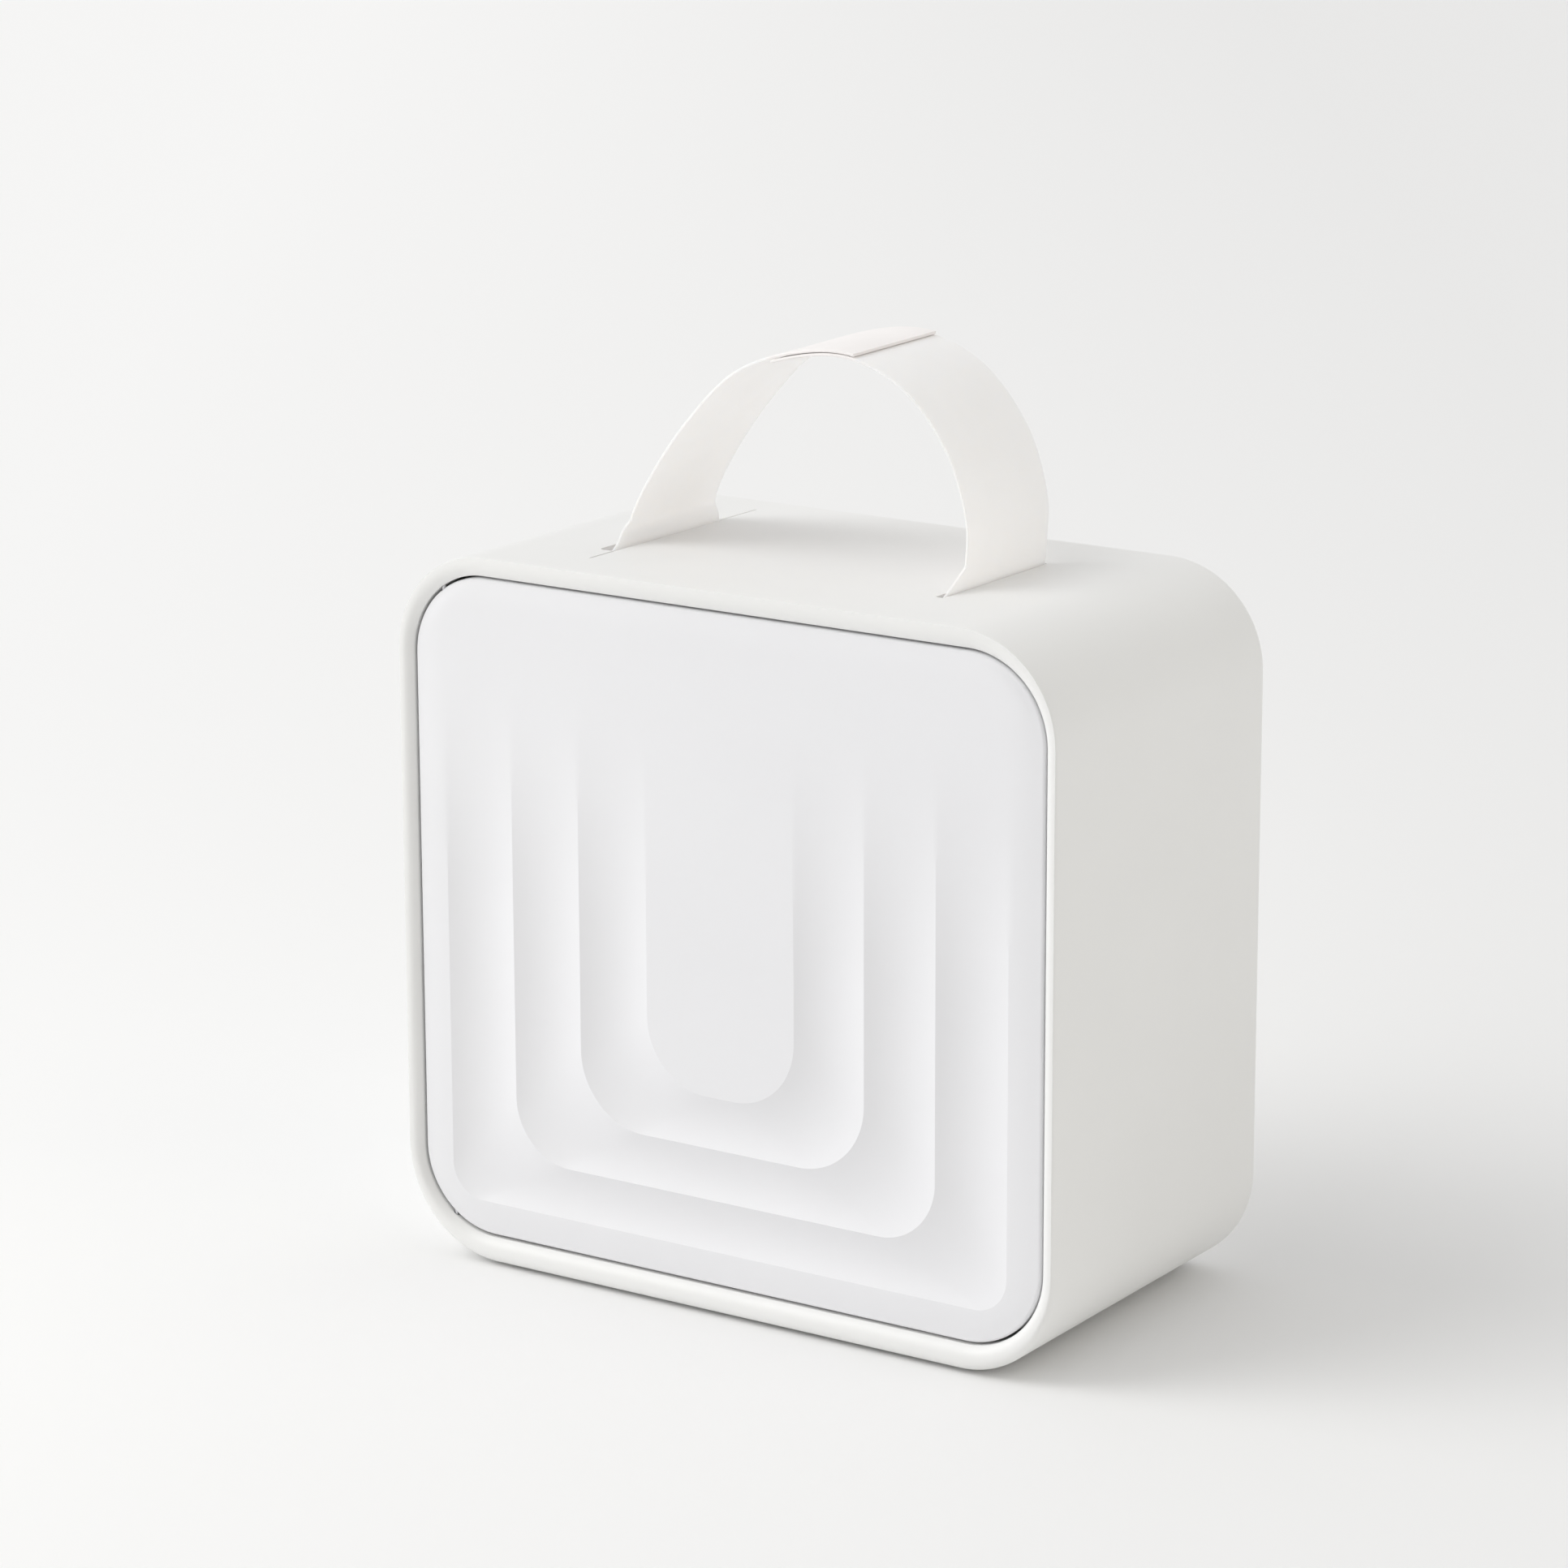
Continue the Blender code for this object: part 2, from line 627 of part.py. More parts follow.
def fan_frame(name, size, front, thick, look):
    """A square frame round a duct, with four struts that hold a bored hub at its back."""
    middle = FLOOR + COOLER_HEIGHT
    half = size / 2
    frame = box(name, (-half, front, middle - half), (half, front + thick, middle + half), look, 0.002)
    duct = cylinder(name + "_duct", (0, front + thick / 2, middle), half - 0.003, thick + 0.002, "Y",
                    None, 40)
    boolean(frame, duct)
    strut, rear = 0.0016, front + thick
    spokes = box(name + "_spokes", (-half + 0.001, rear - 0.0022, middle - strut),
                 (half - 0.001, rear - 0.0004, middle + strut), None)
    upright = box(name + "_upright", (-strut, rear - 0.0020, middle - half + 0.001),
                  (strut, rear - 0.0006, middle + half - 0.001), None)
    hub = cylinder(name + "_hub", (0, rear - 0.0013, middle), size * 0.17, 0.0022, "Y", None, 24)
    bore = cylinder(name + "_bore", (0, front + thick, middle), 0.0019, thick, "Y", None, 12)
    boolean(spokes, upright, "UNION")
    boolean(spokes, hub, "UNION")
    boolean(frame, spokes, "UNION")
    boolean(frame, bore)


def fan_rotor(name, size, front, thick, blades, look):
    """Hub, blades and a short shaft, turning on Y; the shaft runs in the frame's bore."""
    middle = FLOOR + COOLER_HEIGHT
    origin = (0, back(front + thick / 2), middle)
    hub_radius, reach = size * 0.17, size / 2 - 0.0045
    bm = bmesh.new()
    add_cylinder(bm, (0, front + thick / 2, middle), hub_radius, thick, "Y", 24)
    rotor = finish(name, bm, look, origin)
    bm = bmesh.new()
    for k in range(blades):
        start = len(bm.verts)
        length = reach - hub_radius + 0.003
        bmesh.ops.create_cube(bm, size=1.0, matrix=Matrix.Diagonal((length, thick * 0.95, 0.0012, 1)))
        bm.verts.ensure_lookup_table()
        blade = bm.verts[start:]
        place = (Matrix.Translation(origin) @ Matrix.Rotation(2 * math.pi * k / blades, 4, "Y")
                 @ Matrix.Translation((hub_radius - 0.003 + length / 2, 0, 0))
                 @ Matrix.Rotation(math.radians(BLADE_TURN), 4, "X"))
        bmesh.ops.transform(bm, matrix=place, verts=blade)
    blade_set = finish(name + "_blades", bm, None, smooth=False)
    shaft = cylinder(name + "_shaft", (0, front + thick + 0.0006, middle), 0.0015, 0.0034, "Y", None, 12)
    boolean(rotor, blade_set, "UNION")
    boolean(rotor, shaft, "UNION")


def inner_fan_cover():
    """A vented cover over the cold side, open at the back."""
    middle = FLOOR + COOLER_HEIGHT
    half, front, rear, wall = FAN_COVER_SIZE / 2, FAN_COVER_FRONT, CAVITY_BACK - GAP, 0.0018

    def square(size, depth, corner):
        points = outline(size, middle - size, middle + size, corner, corner, 3)
        return at_depth(points, depth)

    rings = [square(half - wall, front + wall, 0.006), square(half - wall, rear, 0.006),
             square(half, rear, 0.008), square(half, front + 0.002, 0.008),
             square(half - 0.002, front, 0.006)]
    cover = loft("inner_fan_cover", rings, LINER_WHITE)
    boolean(cover, slot_bank("cold_vents", middle, (front - SPARE, front + wall + SPARE), 6, VENT_PITCH,
                             0.0240, 0.0016))


def slot_bank(name, middle, depths, count, pitch, half, slot_half):
    """Level slots with round ends, stacked about a height and cut through a wall."""
    bm = bmesh.new()
    for k in range(count):
        z = middle + (k - (count - 1) / 2) * pitch
        points = outline(half, z - slot_half, z + slot_half, slot_half, slot_half, 3)
        points = [p for n, p in enumerate(points) if p != points[n - 1]]
        skin(bm, [at_depth(points, depth) for depth in depths])
    bmesh.ops.remove_doubles(bm, verts=bm.verts, dist=0.00001)
    return finish(name, bm, None, smooth=False)


def shelf_and_rails():
    """A shelf that slides on two rails along the cavity's sides."""
    half, low = WIDTH / 2 - CAVITY_INSET, FLOOR + SHELF_HEIGHT
    loose = 4 * GAP
    front, rear = PLUG_BACK + 0.0035, CAVITY_BACK - 0.0045
    box("shelf", (-half + loose, front, low), (half - loose, rear, low + SHELF_THICK), CLEAR, 0.0006)
    for name, side in (("shelf_rail_left", -1), ("shelf_rail_right", 1)):
        inner, outer = sorted((side * (half - RAIL_WIDTH), side * (half - GAP)))
        box(name, (inner, front + 0.0025, low - GAP - RAIL_TALL), (outer, rear - 0.0035, low - GAP),
            LINER_WHITE)


def electronics():
    """The control board on its two posts, left of the cooler, and the power supply right of it."""
    front, low, high, edge = FOAM_BACK + GAP, FLOOR + BOARD_LOW, FLOOR + BOARD_HIGH, BOARD_POST / 2
    middle, half = -(BOARD_INNER + BOARD_OUTER) / 2, (BOARD_OUTER - BOARD_INNER) / 2
    box("control_board", (middle - half, front + BOARD_POST, low),
        (middle + half, front + BOARD_POST + BOARD_THICK, high), BOARD_GREEN)
    for name, z in (("board_post_lower", low + POST_IN), ("board_post_upper", high - POST_IN)):
        cylinder(name, (middle, front + edge - GAP / 2, z), 0.0035, BOARD_POST - GAP, "Y", WHITE, 12)
    box("power_supply", (BOARD_INNER, front, low), (BOARD_OUTER, front + SUPPLY_DEPTH, high), BLACK,
        0.0015)


def socket_hole(name, x, half_w, half_h):
    z = FLOOR + SOCKET_HEIGHT
    return box(name, (x - half_w, COVER_FRONT - SPARE, z - half_h),
               (x + half_w, COVER_BACK + SPARE, z + half_h), None)


def ac_inlet():
    z, half_w, half_h = FLOOR + SOCKET_HEIGHT, 0.0130, 0.0090
    inlet = box("ac_inlet", (AC_X - half_w, COVER_BACK - 0.020, z - half_h),
                (AC_X + half_w, COVER_BACK, z + half_h), BLACK, 0.0006)
    mouth = loft("ac_mouth", [
        at_depth([(AC_X + x, z + height) for x, height in outline(0.0100, -0.0055, 0.0055,
                                                                   0.0050, 0.0050, 5)], depth)
        for depth in (COVER_BACK - 0.014, COVER_BACK + 0.002)], None)
    boolean(inlet, mouth)
    bm = bmesh.new()
    for side in (-1, 1):
        add_cylinder(bm, (AC_X + side * 0.0043, COVER_BACK - 0.0100, z), 0.0012, 0.012, "Y", 10)
    boolean(inlet, finish("ac_pins", bm, None), "UNION")


def dc_inlet():
    z = FLOOR + SOCKET_HEIGHT
    inlet = box("dc_inlet", (DC_X - 0.0065, COVER_BACK - 0.015, z - 0.0065),
                (DC_X + 0.0065, COVER_BACK, z + 0.0065), BLACK, 0.0006)
    boolean(inlet, cylinder("dc_mouth", (DC_X, COVER_BACK - 0.004, z), 0.0042, 0.012, "Y", None))
    boolean(inlet, cylinder("dc_pin", (DC_X, COVER_BACK - 0.007, z), 0.0010, 0.009, "Y", None, 10),
            "UNION")


def mode_switch():
    z, half_w, half_h, wall = FLOOR + SOCKET_HEIGHT, 0.0060, 0.0105, 0.0012
    bezel = box("switch_bezel", (SWITCH_X - half_w, COVER_BACK - 0.016, z - half_h),
                (SWITCH_X + half_w, COVER_BACK, z + half_h), BLACK, 0.0005)
    boolean(bezel, box("switch_space", (SWITCH_X - half_w + wall, COVER_BACK - 0.0145, z - half_h + wall),
                       (SWITCH_X + half_w - wall, COVER_BACK + 0.002, z + half_h - wall), None))
    inner, tall = half_w - wall - GAP, half_h - wall - 0.0006
    pivot_depth = COVER_BACK - 0.0060
    profile = [(-tall, 0.0044), (0.0, 0.0036), (tall, 0.0044), (tall, 0.0010), (tall * 0.4, -0.0050),
               (-tall * 0.4, -0.0050), (-tall, 0.0010)]
    rings = [[Vector((SWITCH_X + x, back(pivot_depth + depth), z + height))
              for height, depth in profile] for x in (-inner, inner)]
    loft("mode_switch", rings, RUBBER_GREY, (SWITCH_X, back(pivot_depth), z))


def screw_places():
    return [(side * (WIDTH / 2 - SCREW_INSET), FLOOR + height)
            for side in (-1, 1) for height in SCREW_HEIGHTS]


def screw_holes(name, radius):
    bm = bmesh.new()
    for x, z in screw_places():
        add_cylinder(bm, (x, DEPTH - 0.004, z), radius, 0.012, "Y", 12)
    return finish(name, bm, None)


def cover_screws():
    names = ("cover_screw_left_low", "cover_screw_left_high", "cover_screw_right_low",
             "cover_screw_right_high")
    for name, (x, z) in zip(names, screw_places()):
        head = cylinder(name, (x, COVER_BACK - 0.0007, z), 0.0025, 0.0012, "Y", STEEL, 16)
        shank = cylinder(name + "_shank", (x, COVER_BACK - 0.0036, z), 0.0012, 0.0052, "Y", None, 12)
        boolean(head, shank, "UNION")


def rear_cover():
    edge = LEDGE_INSET + GAP
    rings = [body_ring(edge, COVER_FRONT), body_ring(edge, COVER_BACK - 0.0006),
             body_ring(edge + 0.0006, COVER_BACK)]
    cover = loft("rear_cover", rings, WHITE)
    bm = bmesh.new()
    for x, z in screw_places():
        add_cylinder(bm, (x, COVER_BACK, z), 0.0028, 0.0032, "Y", 16)
    boolean(cover, finish("screw_seats", bm, None))
    boolean(cover, screw_holes("cover_holes", 0.0015))
    depths = (COVER_FRONT - SPARE, COVER_BACK + SPARE)
    for name, height, count in (("fan_vents", COOLER_HEIGHT, 9), ("intake_vents", INTAKE_HEIGHT, 4)):
        boolean(cover, slot_bank(name, FLOOR + height, depths, count, VENT_PITCH, VENT_HALF, VENT_SLOT))
    boolean(cover, socket_hole("ac_hole", AC_X, 0.0133, 0.0093))
    boolean(cover, socket_hole("dc_hole", DC_X, 0.0068, 0.0068))
    boolean(cover, socket_hole("switch_hole", SWITCH_X, 0.0063, 0.0108))


def smooth_point(points, place):
    """Catmull-Rom point at place, counted in control points, and its direction."""
    index = min(int(place), len(points) - 2)
    t = place - index
    p0, p1, p2, p3 = [Vector(points[min(max(k, 0), len(points) - 1)])
                      for k in (index - 1, index, index + 1, index + 2)]
    a = 2 * p1
    b = p2 - p0
    c = 2 * p0 - 5 * p1 + 4 * p2 - p3
    d = 3 * p1 - p0 - 3 * p2 + p3
    point = (a + b * t + c * t * t + d * t ** 3) / 2
    way = (b + 2 * c * t + 3 * d * t * t) / 2
    return point, way.normalized()


def strap_point(place, offset):
    """A point (x, z) on the strap's route in metres, moved outwards by offset."""
    point, way = smooth_point(STRAP_ROUTE, place)
    outwards = Vector((-way.y, way.x))
    return point * MM + Vector((0, STRAP_BASE)) + outwards * offset


def strap_layer(name, span, offset, steps):
    """One layer of the band along a stretch of the route, wider towards the front at its root."""
    rings = []
    for k in range(steps + 1):
        place = span[0] + (span[1] - span[0]) * k / steps
        upper = strap_point(place, offset + STRAP_THICK / 2)
        lower = strap_point(place, offset - STRAP_THICK / 2)
        above = max((upper.y + lower.y) / 2 - STRAP_BASE, 0.0)
        flare = max(1 - above / ROOT_HEIGHT, 0.0)
        front = back(STRAP_FRONT + (ROOT_FRONT - STRAP_FRONT) * flare)
        rear = back(STRAP_BACK)
        rings.append([Vector((lower.x, front, lower.y)), Vector((upper.x, front, upper.y)),
                      Vector((upper.x, rear, upper.y)), Vector((lower.x, rear, lower.y))])
    return loft(name, rings, STRAP_CREAM)


def strap():
    """Two layers that overlap over the top, each held in a slit bar under the top wall."""
    strap_layer("strap_left", UPPER_SPAN, 0.0, 34)
    strap_layer("strap_right", LOWER_SPAN, -LAYER_STEP, 32)
    for name, place, offset in (("strap_anchor_left", UPPER_SPAN[0], 0.0),
                                ("strap_anchor_right", LOWER_SPAN[1], -LAYER_STEP)):
        x = strap_point(place, offset)[0]
        high, thick, half = top_at(STRAP_BACK + ANCHOR_OVER) - WALL - GAP, 0.0034, 0.0060
        bar = box(name, (x - half, ROOT_FRONT - ANCHOR_OVER, high - thick),
                  (x + half, STRAP_BACK + ANCHOR_OVER, high), WHITE, 0.0005)
        grip = STRAP_THICK / 2 + 2 * GAP
        boolean(bar, box(name + "_slit", (x - grip, ROOT_FRONT - GAP, high - thick - SPARE),
                         (x + grip, STRAP_BACK + GAP, high + SPARE), None))


def build():
    outer_shell()
    hinge_pins()
    feet()
    door_panel()
    door_insides()
    door_bin()
    magnet_and_catch()
    inner_liner()
    foam_insulation()
    fins_back = cooler_stack()
    fan_front = fins_back + GAP
    fan_frame("fan_frame", FAN_SIZE, fan_front, FAN_THICK, BLACK)
    fan_rotor("fan_rotor", FAN_SIZE, fan_front + 0.0010, FAN_THICK - 0.0042, BLADES, BLACK)
    fan_frame("inner_fan_frame", INNER_FAN_SIZE, INNER_FAN_FRONT, INNER_FAN_THICK, BLACK)
    fan_rotor("inner_fan_rotor", INNER_FAN_SIZE, INNER_FAN_FRONT + 0.0008, INNER_FAN_THICK - 0.0040,
              BLADES, BLACK)
    inner_fan_cover()
    shelf_and_rails()
    electronics()
    ac_inlet()
    dc_inlet()
    mode_switch()
    rear_cover()
    cover_screws()
    strap()


clear_scene()
PARTS = collection("mini_fridge")
CUTTERS = collection("cutters")
build()
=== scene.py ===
"""Looks for the portable mini fridge: fine casing, fluted door, soft strap and fittings."""
import math

import bmesh
import bpy
from mathutils import Matrix, Vector


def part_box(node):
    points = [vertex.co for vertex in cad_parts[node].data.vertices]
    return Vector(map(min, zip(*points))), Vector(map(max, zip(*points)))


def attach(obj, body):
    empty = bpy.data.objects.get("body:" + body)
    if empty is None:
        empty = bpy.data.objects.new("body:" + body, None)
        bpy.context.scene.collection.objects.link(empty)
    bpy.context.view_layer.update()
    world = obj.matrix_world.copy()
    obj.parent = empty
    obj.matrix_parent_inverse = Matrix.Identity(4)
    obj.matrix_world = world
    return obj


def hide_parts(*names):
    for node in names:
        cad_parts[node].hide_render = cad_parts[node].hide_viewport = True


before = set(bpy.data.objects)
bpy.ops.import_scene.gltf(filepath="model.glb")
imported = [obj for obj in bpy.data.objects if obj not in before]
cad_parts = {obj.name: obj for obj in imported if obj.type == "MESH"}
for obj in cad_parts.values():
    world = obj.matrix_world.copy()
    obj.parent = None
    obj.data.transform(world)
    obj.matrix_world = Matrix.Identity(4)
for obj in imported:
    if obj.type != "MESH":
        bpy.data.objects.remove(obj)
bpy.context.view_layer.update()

SHELL_LOW, SHELL_HIGH = (Vector(corner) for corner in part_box("outer_shell"))
WIDTH = SHELL_HIGH.x - SHELL_LOW.x
DEPTH = SHELL_HIGH.y - SHELL_LOW.y
BOTTOM = SHELL_LOW.z
TOP = SHELL_HIGH.z
FRONT = SHELL_LOW.y

# Casing, in metres from the outer faces and the front edge. CREST_ANGLES are in degrees
TOP_FALL = 0.0020
CORNER = 0.0405
WALL = 0.0030
CREST_SIDE = 0.0005
CREST_TOP = 0.0003
CREST_LOW = 0.0040
CREST_ROUND = 0.0035
RIM_INSET = 0.0054
RIM_DROP = 0.0031
RIM_LOW = 0.0043
RIM_HIGH = 0.0025
RIM_BEND = 3.0
POCKET_CORNER = 0.0334
POCKET_DEPTH = 0.0220
BACK_ROUND = 0.0050
EDGE_BREAK = 0.0004
LEDGE_INSET = 0.0120
LEDGE_WIDTH = 0.0090
LEDGE_FACE = DEPTH - 0.0028
LEDGE_THICK = 0.0026
PIN_CLEAR = 0.0011
PIN_SPARE = 0.0006
CREST_ANGLES = (90, 75, 60, 47, 36, 26, 17, 8, 0)
RIM_STEPS = 12
BACK_STEPS = 10

# Door. MIDDLE_SHRINK is a share, and DOOR_SMOOTH is in degrees
DOOR_GAP = 0.0010
DOOR_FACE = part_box("door_panel")[0][1] - FRONT
DOOR_THICK = 0.0080
DOOR_CROWN = 0.0010
DOOR_EDGE_ROUND = 0.0013
DOOR_REAR_ROUND = 0.0025
FLUTES = 3
MIDDLE_HALF = 0.0332
FLUTE_PITCH = 0.0310
FLUTE_RISE = 0.0204
LOWEST_FLUTE = 0.0243
FLUTE_CORNERS = (0.027, 0.029, 0.025, 0.014)
FLUTE_TOP = 0.2440
FLUTE_TOP_STEP = 0.0060
FLUTE_TOP_CORNER = 0.0060
FLUTE_DEPTH = 0.0030
FADE_LOW = 0.1250
FADE_HIGH = 0.2400
MIDDLE_SHRINK = 0.02
FLUTE_STEPS = 20
MARGIN_STEPS = 6
EDGE_STEPS = 8
DOOR_SMOOTH = 14

# Gasket between door and cabinet, with its section in shares of its half width and its height
GASKET_INSET = 0.0190
GASKET_WIDTH = 0.0060
GASKET_SECTION = ((-0.95, 0.0), (-0.95, 0.18), (-0.55, 0.30), (-0.45, 0.42), (-0.60, 0.52),
                  (-0.92, 0.60), (-1.0, 0.74), (-0.94, 0.90), (-0.78, 1.0), (0.78, 1.0),
                  (0.94, 0.90), (1.0, 0.74), (0.92, 0.60), (0.60, 0.52), (0.45, 0.42), (0.55, 0.30),
                  (0.95, 0.18), (0.95, 0.0))

# Strap and its slots. STRAP_EDGE is a share of the thickness, SLOT_CORNER of a slot's half width
STRAP_BASE = 0.2815
STRAP_THICK = 0.0012
STRAP_EDGE = 0.45
STRAP_FRONT = 0.0537
STRAP_BACK = 0.1111
ROOT_FRONT = 0.0391
ROOT_HEIGHT = 0.0098
LAYER_STEP = 0.0015
SLOT_LEFT = -0.0789
SLOT_RIGHT = -0.0720
SLOT_SPARE = 0.0010
RIGHT_SLOT_HALF = 0.0018
SLOT_CORNER = 0.6
CUT_SPARE = 0.001
LINE_FRONT = 0.0226
LINE_BACK = 0.1353
LINE_WIDTH = 0.0008
LINE_DEEP = 0.0006
LINE_SPARE = 0.0006

# Route of the strap in millimetres, as (across, above STRAP_BASE). The spans say from which point
# of the route to which a layer runs, and DOUBLED_ where the layers lie on each other
MM = 0.001
STRAP_ROUTE = ((-73.4, -6.3), (-73.8, 2.0), (-75.0, 9.8), (-65.5, 28.0), (-48.7, 50.7),
               (-27.0, 71.5), (0.0, 81.8), (26.0, 83.4), (50.0, 73.0), (68.0, 52.0),
               (76.5, 28.0), (76.6, 9.0), (75.0, -6.3))
UPPER_SPAN = (0.0, 7.0)
LOWER_SPAN = (5.6, 12.0)
UPPER_STEPS = 140
LOWER_STEPS = 130
DOUBLED_MIDDLE = 0.0075
DOUBLED_HALF = 0.0195
THROUGH_LIGHT = 0.85

# Screw heads, as (share of the radius, depth below the face), and their recess and shank
SCREW_HEAD = ((0.98, 0.0012), (1.0, 0.0010), (1.0, 0.0004), (0.86, 0.0001), (0.6, 0.0), (0.2, 0.0))
SCREW_HEAD_THICK = 0.0012
SCREW_SHANK = 0.0012
SCREW_SIDES = 32
SHANK_SIDES = 20
RECESS_LONG = 0.0014
RECESS_SHORT = 0.0003
RECESS_DEEP = 0.0007

# CAD solids that are refined: a distance in metres, and three angles in degrees
WELD = 0.000002
FLAT_WITHIN = 0.5
BEVEL_ABOVE = 35
BEVEL_SMOOTH = 50

# Camera, with its angles in degrees
CAMERA_PLACE = (1.11337, -1.70326, 0.73218)
CAMERA_AZIMUTH = 33.665
CAMERA_ELEVATION = 14.844
CAMERA_ROLL = -0.2217
CAMERA_LENS = 126.563
CAMERA_SENSOR = 36.0
CAMERA_REACH = 50.0

# Light. Each sun has its name, the way to it, its breadth in degrees, its strength and its colour
SUNS = (("key", (-0.54, -0.40, 0.74), 40, 0.74, (1.0, 1.0, 1.0)),
        ("front_left", (-0.52, -0.95, 0.50), 70, 0.86, (1.0, 1.0, 1.0)),
        ("right", (0.95, -0.10, 0.35), 70, 0.42, (1.0, 0.92, 0.75)))
FILL_PLACE = (-0.62, -0.55, 0.42)
FILL_SIZE = 0.4
FILL_POWER = 0.55
FILL_COLOUR = (1.0, 0.99, 0.90)
AIR_HIGH = 0.77
AIR_LOW = 0.04
AIR_DARK_WAY = (0.36, -0.90, 0.25)
AIR_DARK_EDGE = 0.31
# The floor's colour below runs from the left tone to the right one along FLOOR_WAY: painted light
# falloff, lighter towards the lights on the left and painted shade towards the right
PAINTED_LIT_FLOOR_LEFT = (0.955, 0.955, 0.955)
PAINTED_SHADE_FLOOR_RIGHT = (0.845, 0.845, 0.845)
FLOOR_WAY = (0.83, 0.55, 0.0)
FLOOR_SPREAD = 0.5
FLOOR_HALF = 14.0

# Points round each corner, and up each side where the flutes need them
CORNER_STEPS = 24
SIDE_STEPS = 40


def depth_y(depth):
    """World y of a depth behind the casing's front edge."""
    return FRONT + depth


# ---------------------------------------------------------------- mesh tools

def shade(mesh, angle=32):
    """Smooth shading, with sharp edges where faces meet at more than angle degrees."""
    mesh.shade_smooth()
    mesh.set_sharp_from_angle(angle=math.radians(angle))


def new_piece(name, bm, angle=32):
    """An object made from a bmesh, with its faces turned outwards."""
    bmesh.ops.recalc_face_normals(bm, faces=bm.faces)
    mesh = bpy.data.meshes.new(name)
    bm.to_mesh(mesh)
    bm.free()
    shade(mesh, angle)
    thing = bpy.data.objects.new(name, mesh)
    bpy.context.scene.collection.objects.link(thing)
    return thing


def arc(cx, cz, radius, start, stop, steps):
    """Points (x, z) on an arc round (cx, cz), with the angles in radians."""
    return [(cx + radius * math.cos(start + (stop - start) * k / steps),
             cz + radius * math.sin(start + (stop - start) * k / steps)) for k in range(steps + 1)]


def outline(half, low, high, low_corner, high_corner, corner_steps, side_steps=1):
    """Points (x, z) round an upright rounded rectangle, from the bottom right corner."""
    quarter = math.pi / 2
    right_low = arc(half - low_corner, low + low_corner, low_corner, -quarter, 0, corner_steps)
    right_high = arc(half - high_corner, high - high_corner, high_corner, 0, quarter, corner_steps)
    side = []
    for k in range(1, side_steps):
        share = k / side_steps
        side.append((half, low + low_corner + share * (high - high_corner - low - low_corner)))
    right = right_low + side + right_high
    return right + [(-x, z) for x, z in reversed(right)]


def at_depth(points, depth):
    """World places of points (x, z) at a depth."""
    return [Vector((x, depth_y(depth), z)) for x, z in points]


def skin(bm, rings, endless=False):
    """Join the rings in order, and close them to a solid at both ends or end to end."""
    loops = [[bm.verts.new(point) for point in ring] for ring in rings]
    pairs = list(zip(loops, loops[1:]))
    if endless:
        pairs.append((loops[-1], loops[0]))
    for one, two in pairs:
        count = len(one)
        for k in range(count):
            after = (k + 1) % count
            bm.faces.new((one[k], one[after], two[after], two[k]))
    if not endless:
        bm.faces.new(loops[0])
        bm.faces.new(loops[-1])


def loft(name, rings, endless=False, angle=32):
    """An object skinned over rings."""
    bm = bmesh.new()
    skin(bm, rings, endless)
    return new_piece(name, bm, angle)


def between(one, two, share):
    """The ring at a share of the way from one ring to another."""
    return [a.lerp(b, share) for a, b in zip(one, two)]


def bake_modifiers(thing, angle=32):
    """Replace the mesh by its evaluated one."""
    bpy.context.view_layer.update()
    result = bpy.data.meshes.new_from_object(thing.evaluated_get(bpy.context.evaluated_depsgraph_get()))
    thing.modifiers.clear()
    thing.data = result
    shade(thing.data, angle)


def cut(thing, tool, angle=32):
    """Apply an exact difference and remove the tool."""
    step = thing.modifiers.new("cut", "BOOLEAN")
    step.object = tool
    bake_modifiers(thing, angle)
    bpy.data.objects.remove(tool, do_unlink=True)


def add_cylinder(bm, place, radius, length, turn=None, sides=24):
    """A cylinder with its middle at place, upright unless it is turned."""
    matrix = Matrix.Translation(place)
    if turn:
        matrix = matrix @ turn
    bmesh.ops.create_cone(bm, cap_ends=True, segments=sides, radius1=radius, radius2=radius,
                          depth=length, matrix=matrix)


def add_box(bm, low, high):
    """A box between two corners."""
    low, high = Vector(low), Vector(high)
    matrix = Matrix.Translation((low + high) / 2) @ Matrix.Diagonal((*(high - low), 1.0))
    bmesh.ops.create_cube(bm, size=1.0, matrix=matrix)


def place_piece(piece, body, slot, made, *nodes):
    """Ride on a body, take a material, and stand for CAD nodes. The slot is not used."""
    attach(piece, body)
    if nodes:
        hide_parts(*nodes)
    piece.data.materials.clear()
    piece.data.materials.append(made)
    return piece


# ---------------------------------------------------------------- materials

def nodes_of(name):
    """A new material, its node tree and its shader."""
    made = bpy.data.materials.new(name)
    made.use_nodes = True
    tree = made.node_tree
    return made, tree, tree.nodes["Principled BSDF"]


def object_place(tree, stretch=None):
    """Object coordinates, scaled by stretch if there is one."""
    place = tree.nodes.new("ShaderNodeTexCoord").outputs["Object"]
    if not stretch:
        return place
    mapping = tree.nodes.new("ShaderNodeMapping")
    mapping.inputs["Scale"].default_value = stretch
    tree.links.new(place, mapping.inputs["Vector"])
    return mapping.outputs["Vector"]


def noise(tree, scale, detail=3.0, roughness=0.5, stretch=None):
    """Cloudy noise in object coordinates."""
    texture = tree.nodes.new("ShaderNodeTexNoise")
    texture.inputs["Scale"].default_value = scale
    texture.inputs["Detail"].default_value = detail
    texture.inputs["Roughness"].default_value = roughness
    tree.links.new(object_place(tree, stretch), texture.inputs["Vector"])
    return texture.outputs["Fac"]


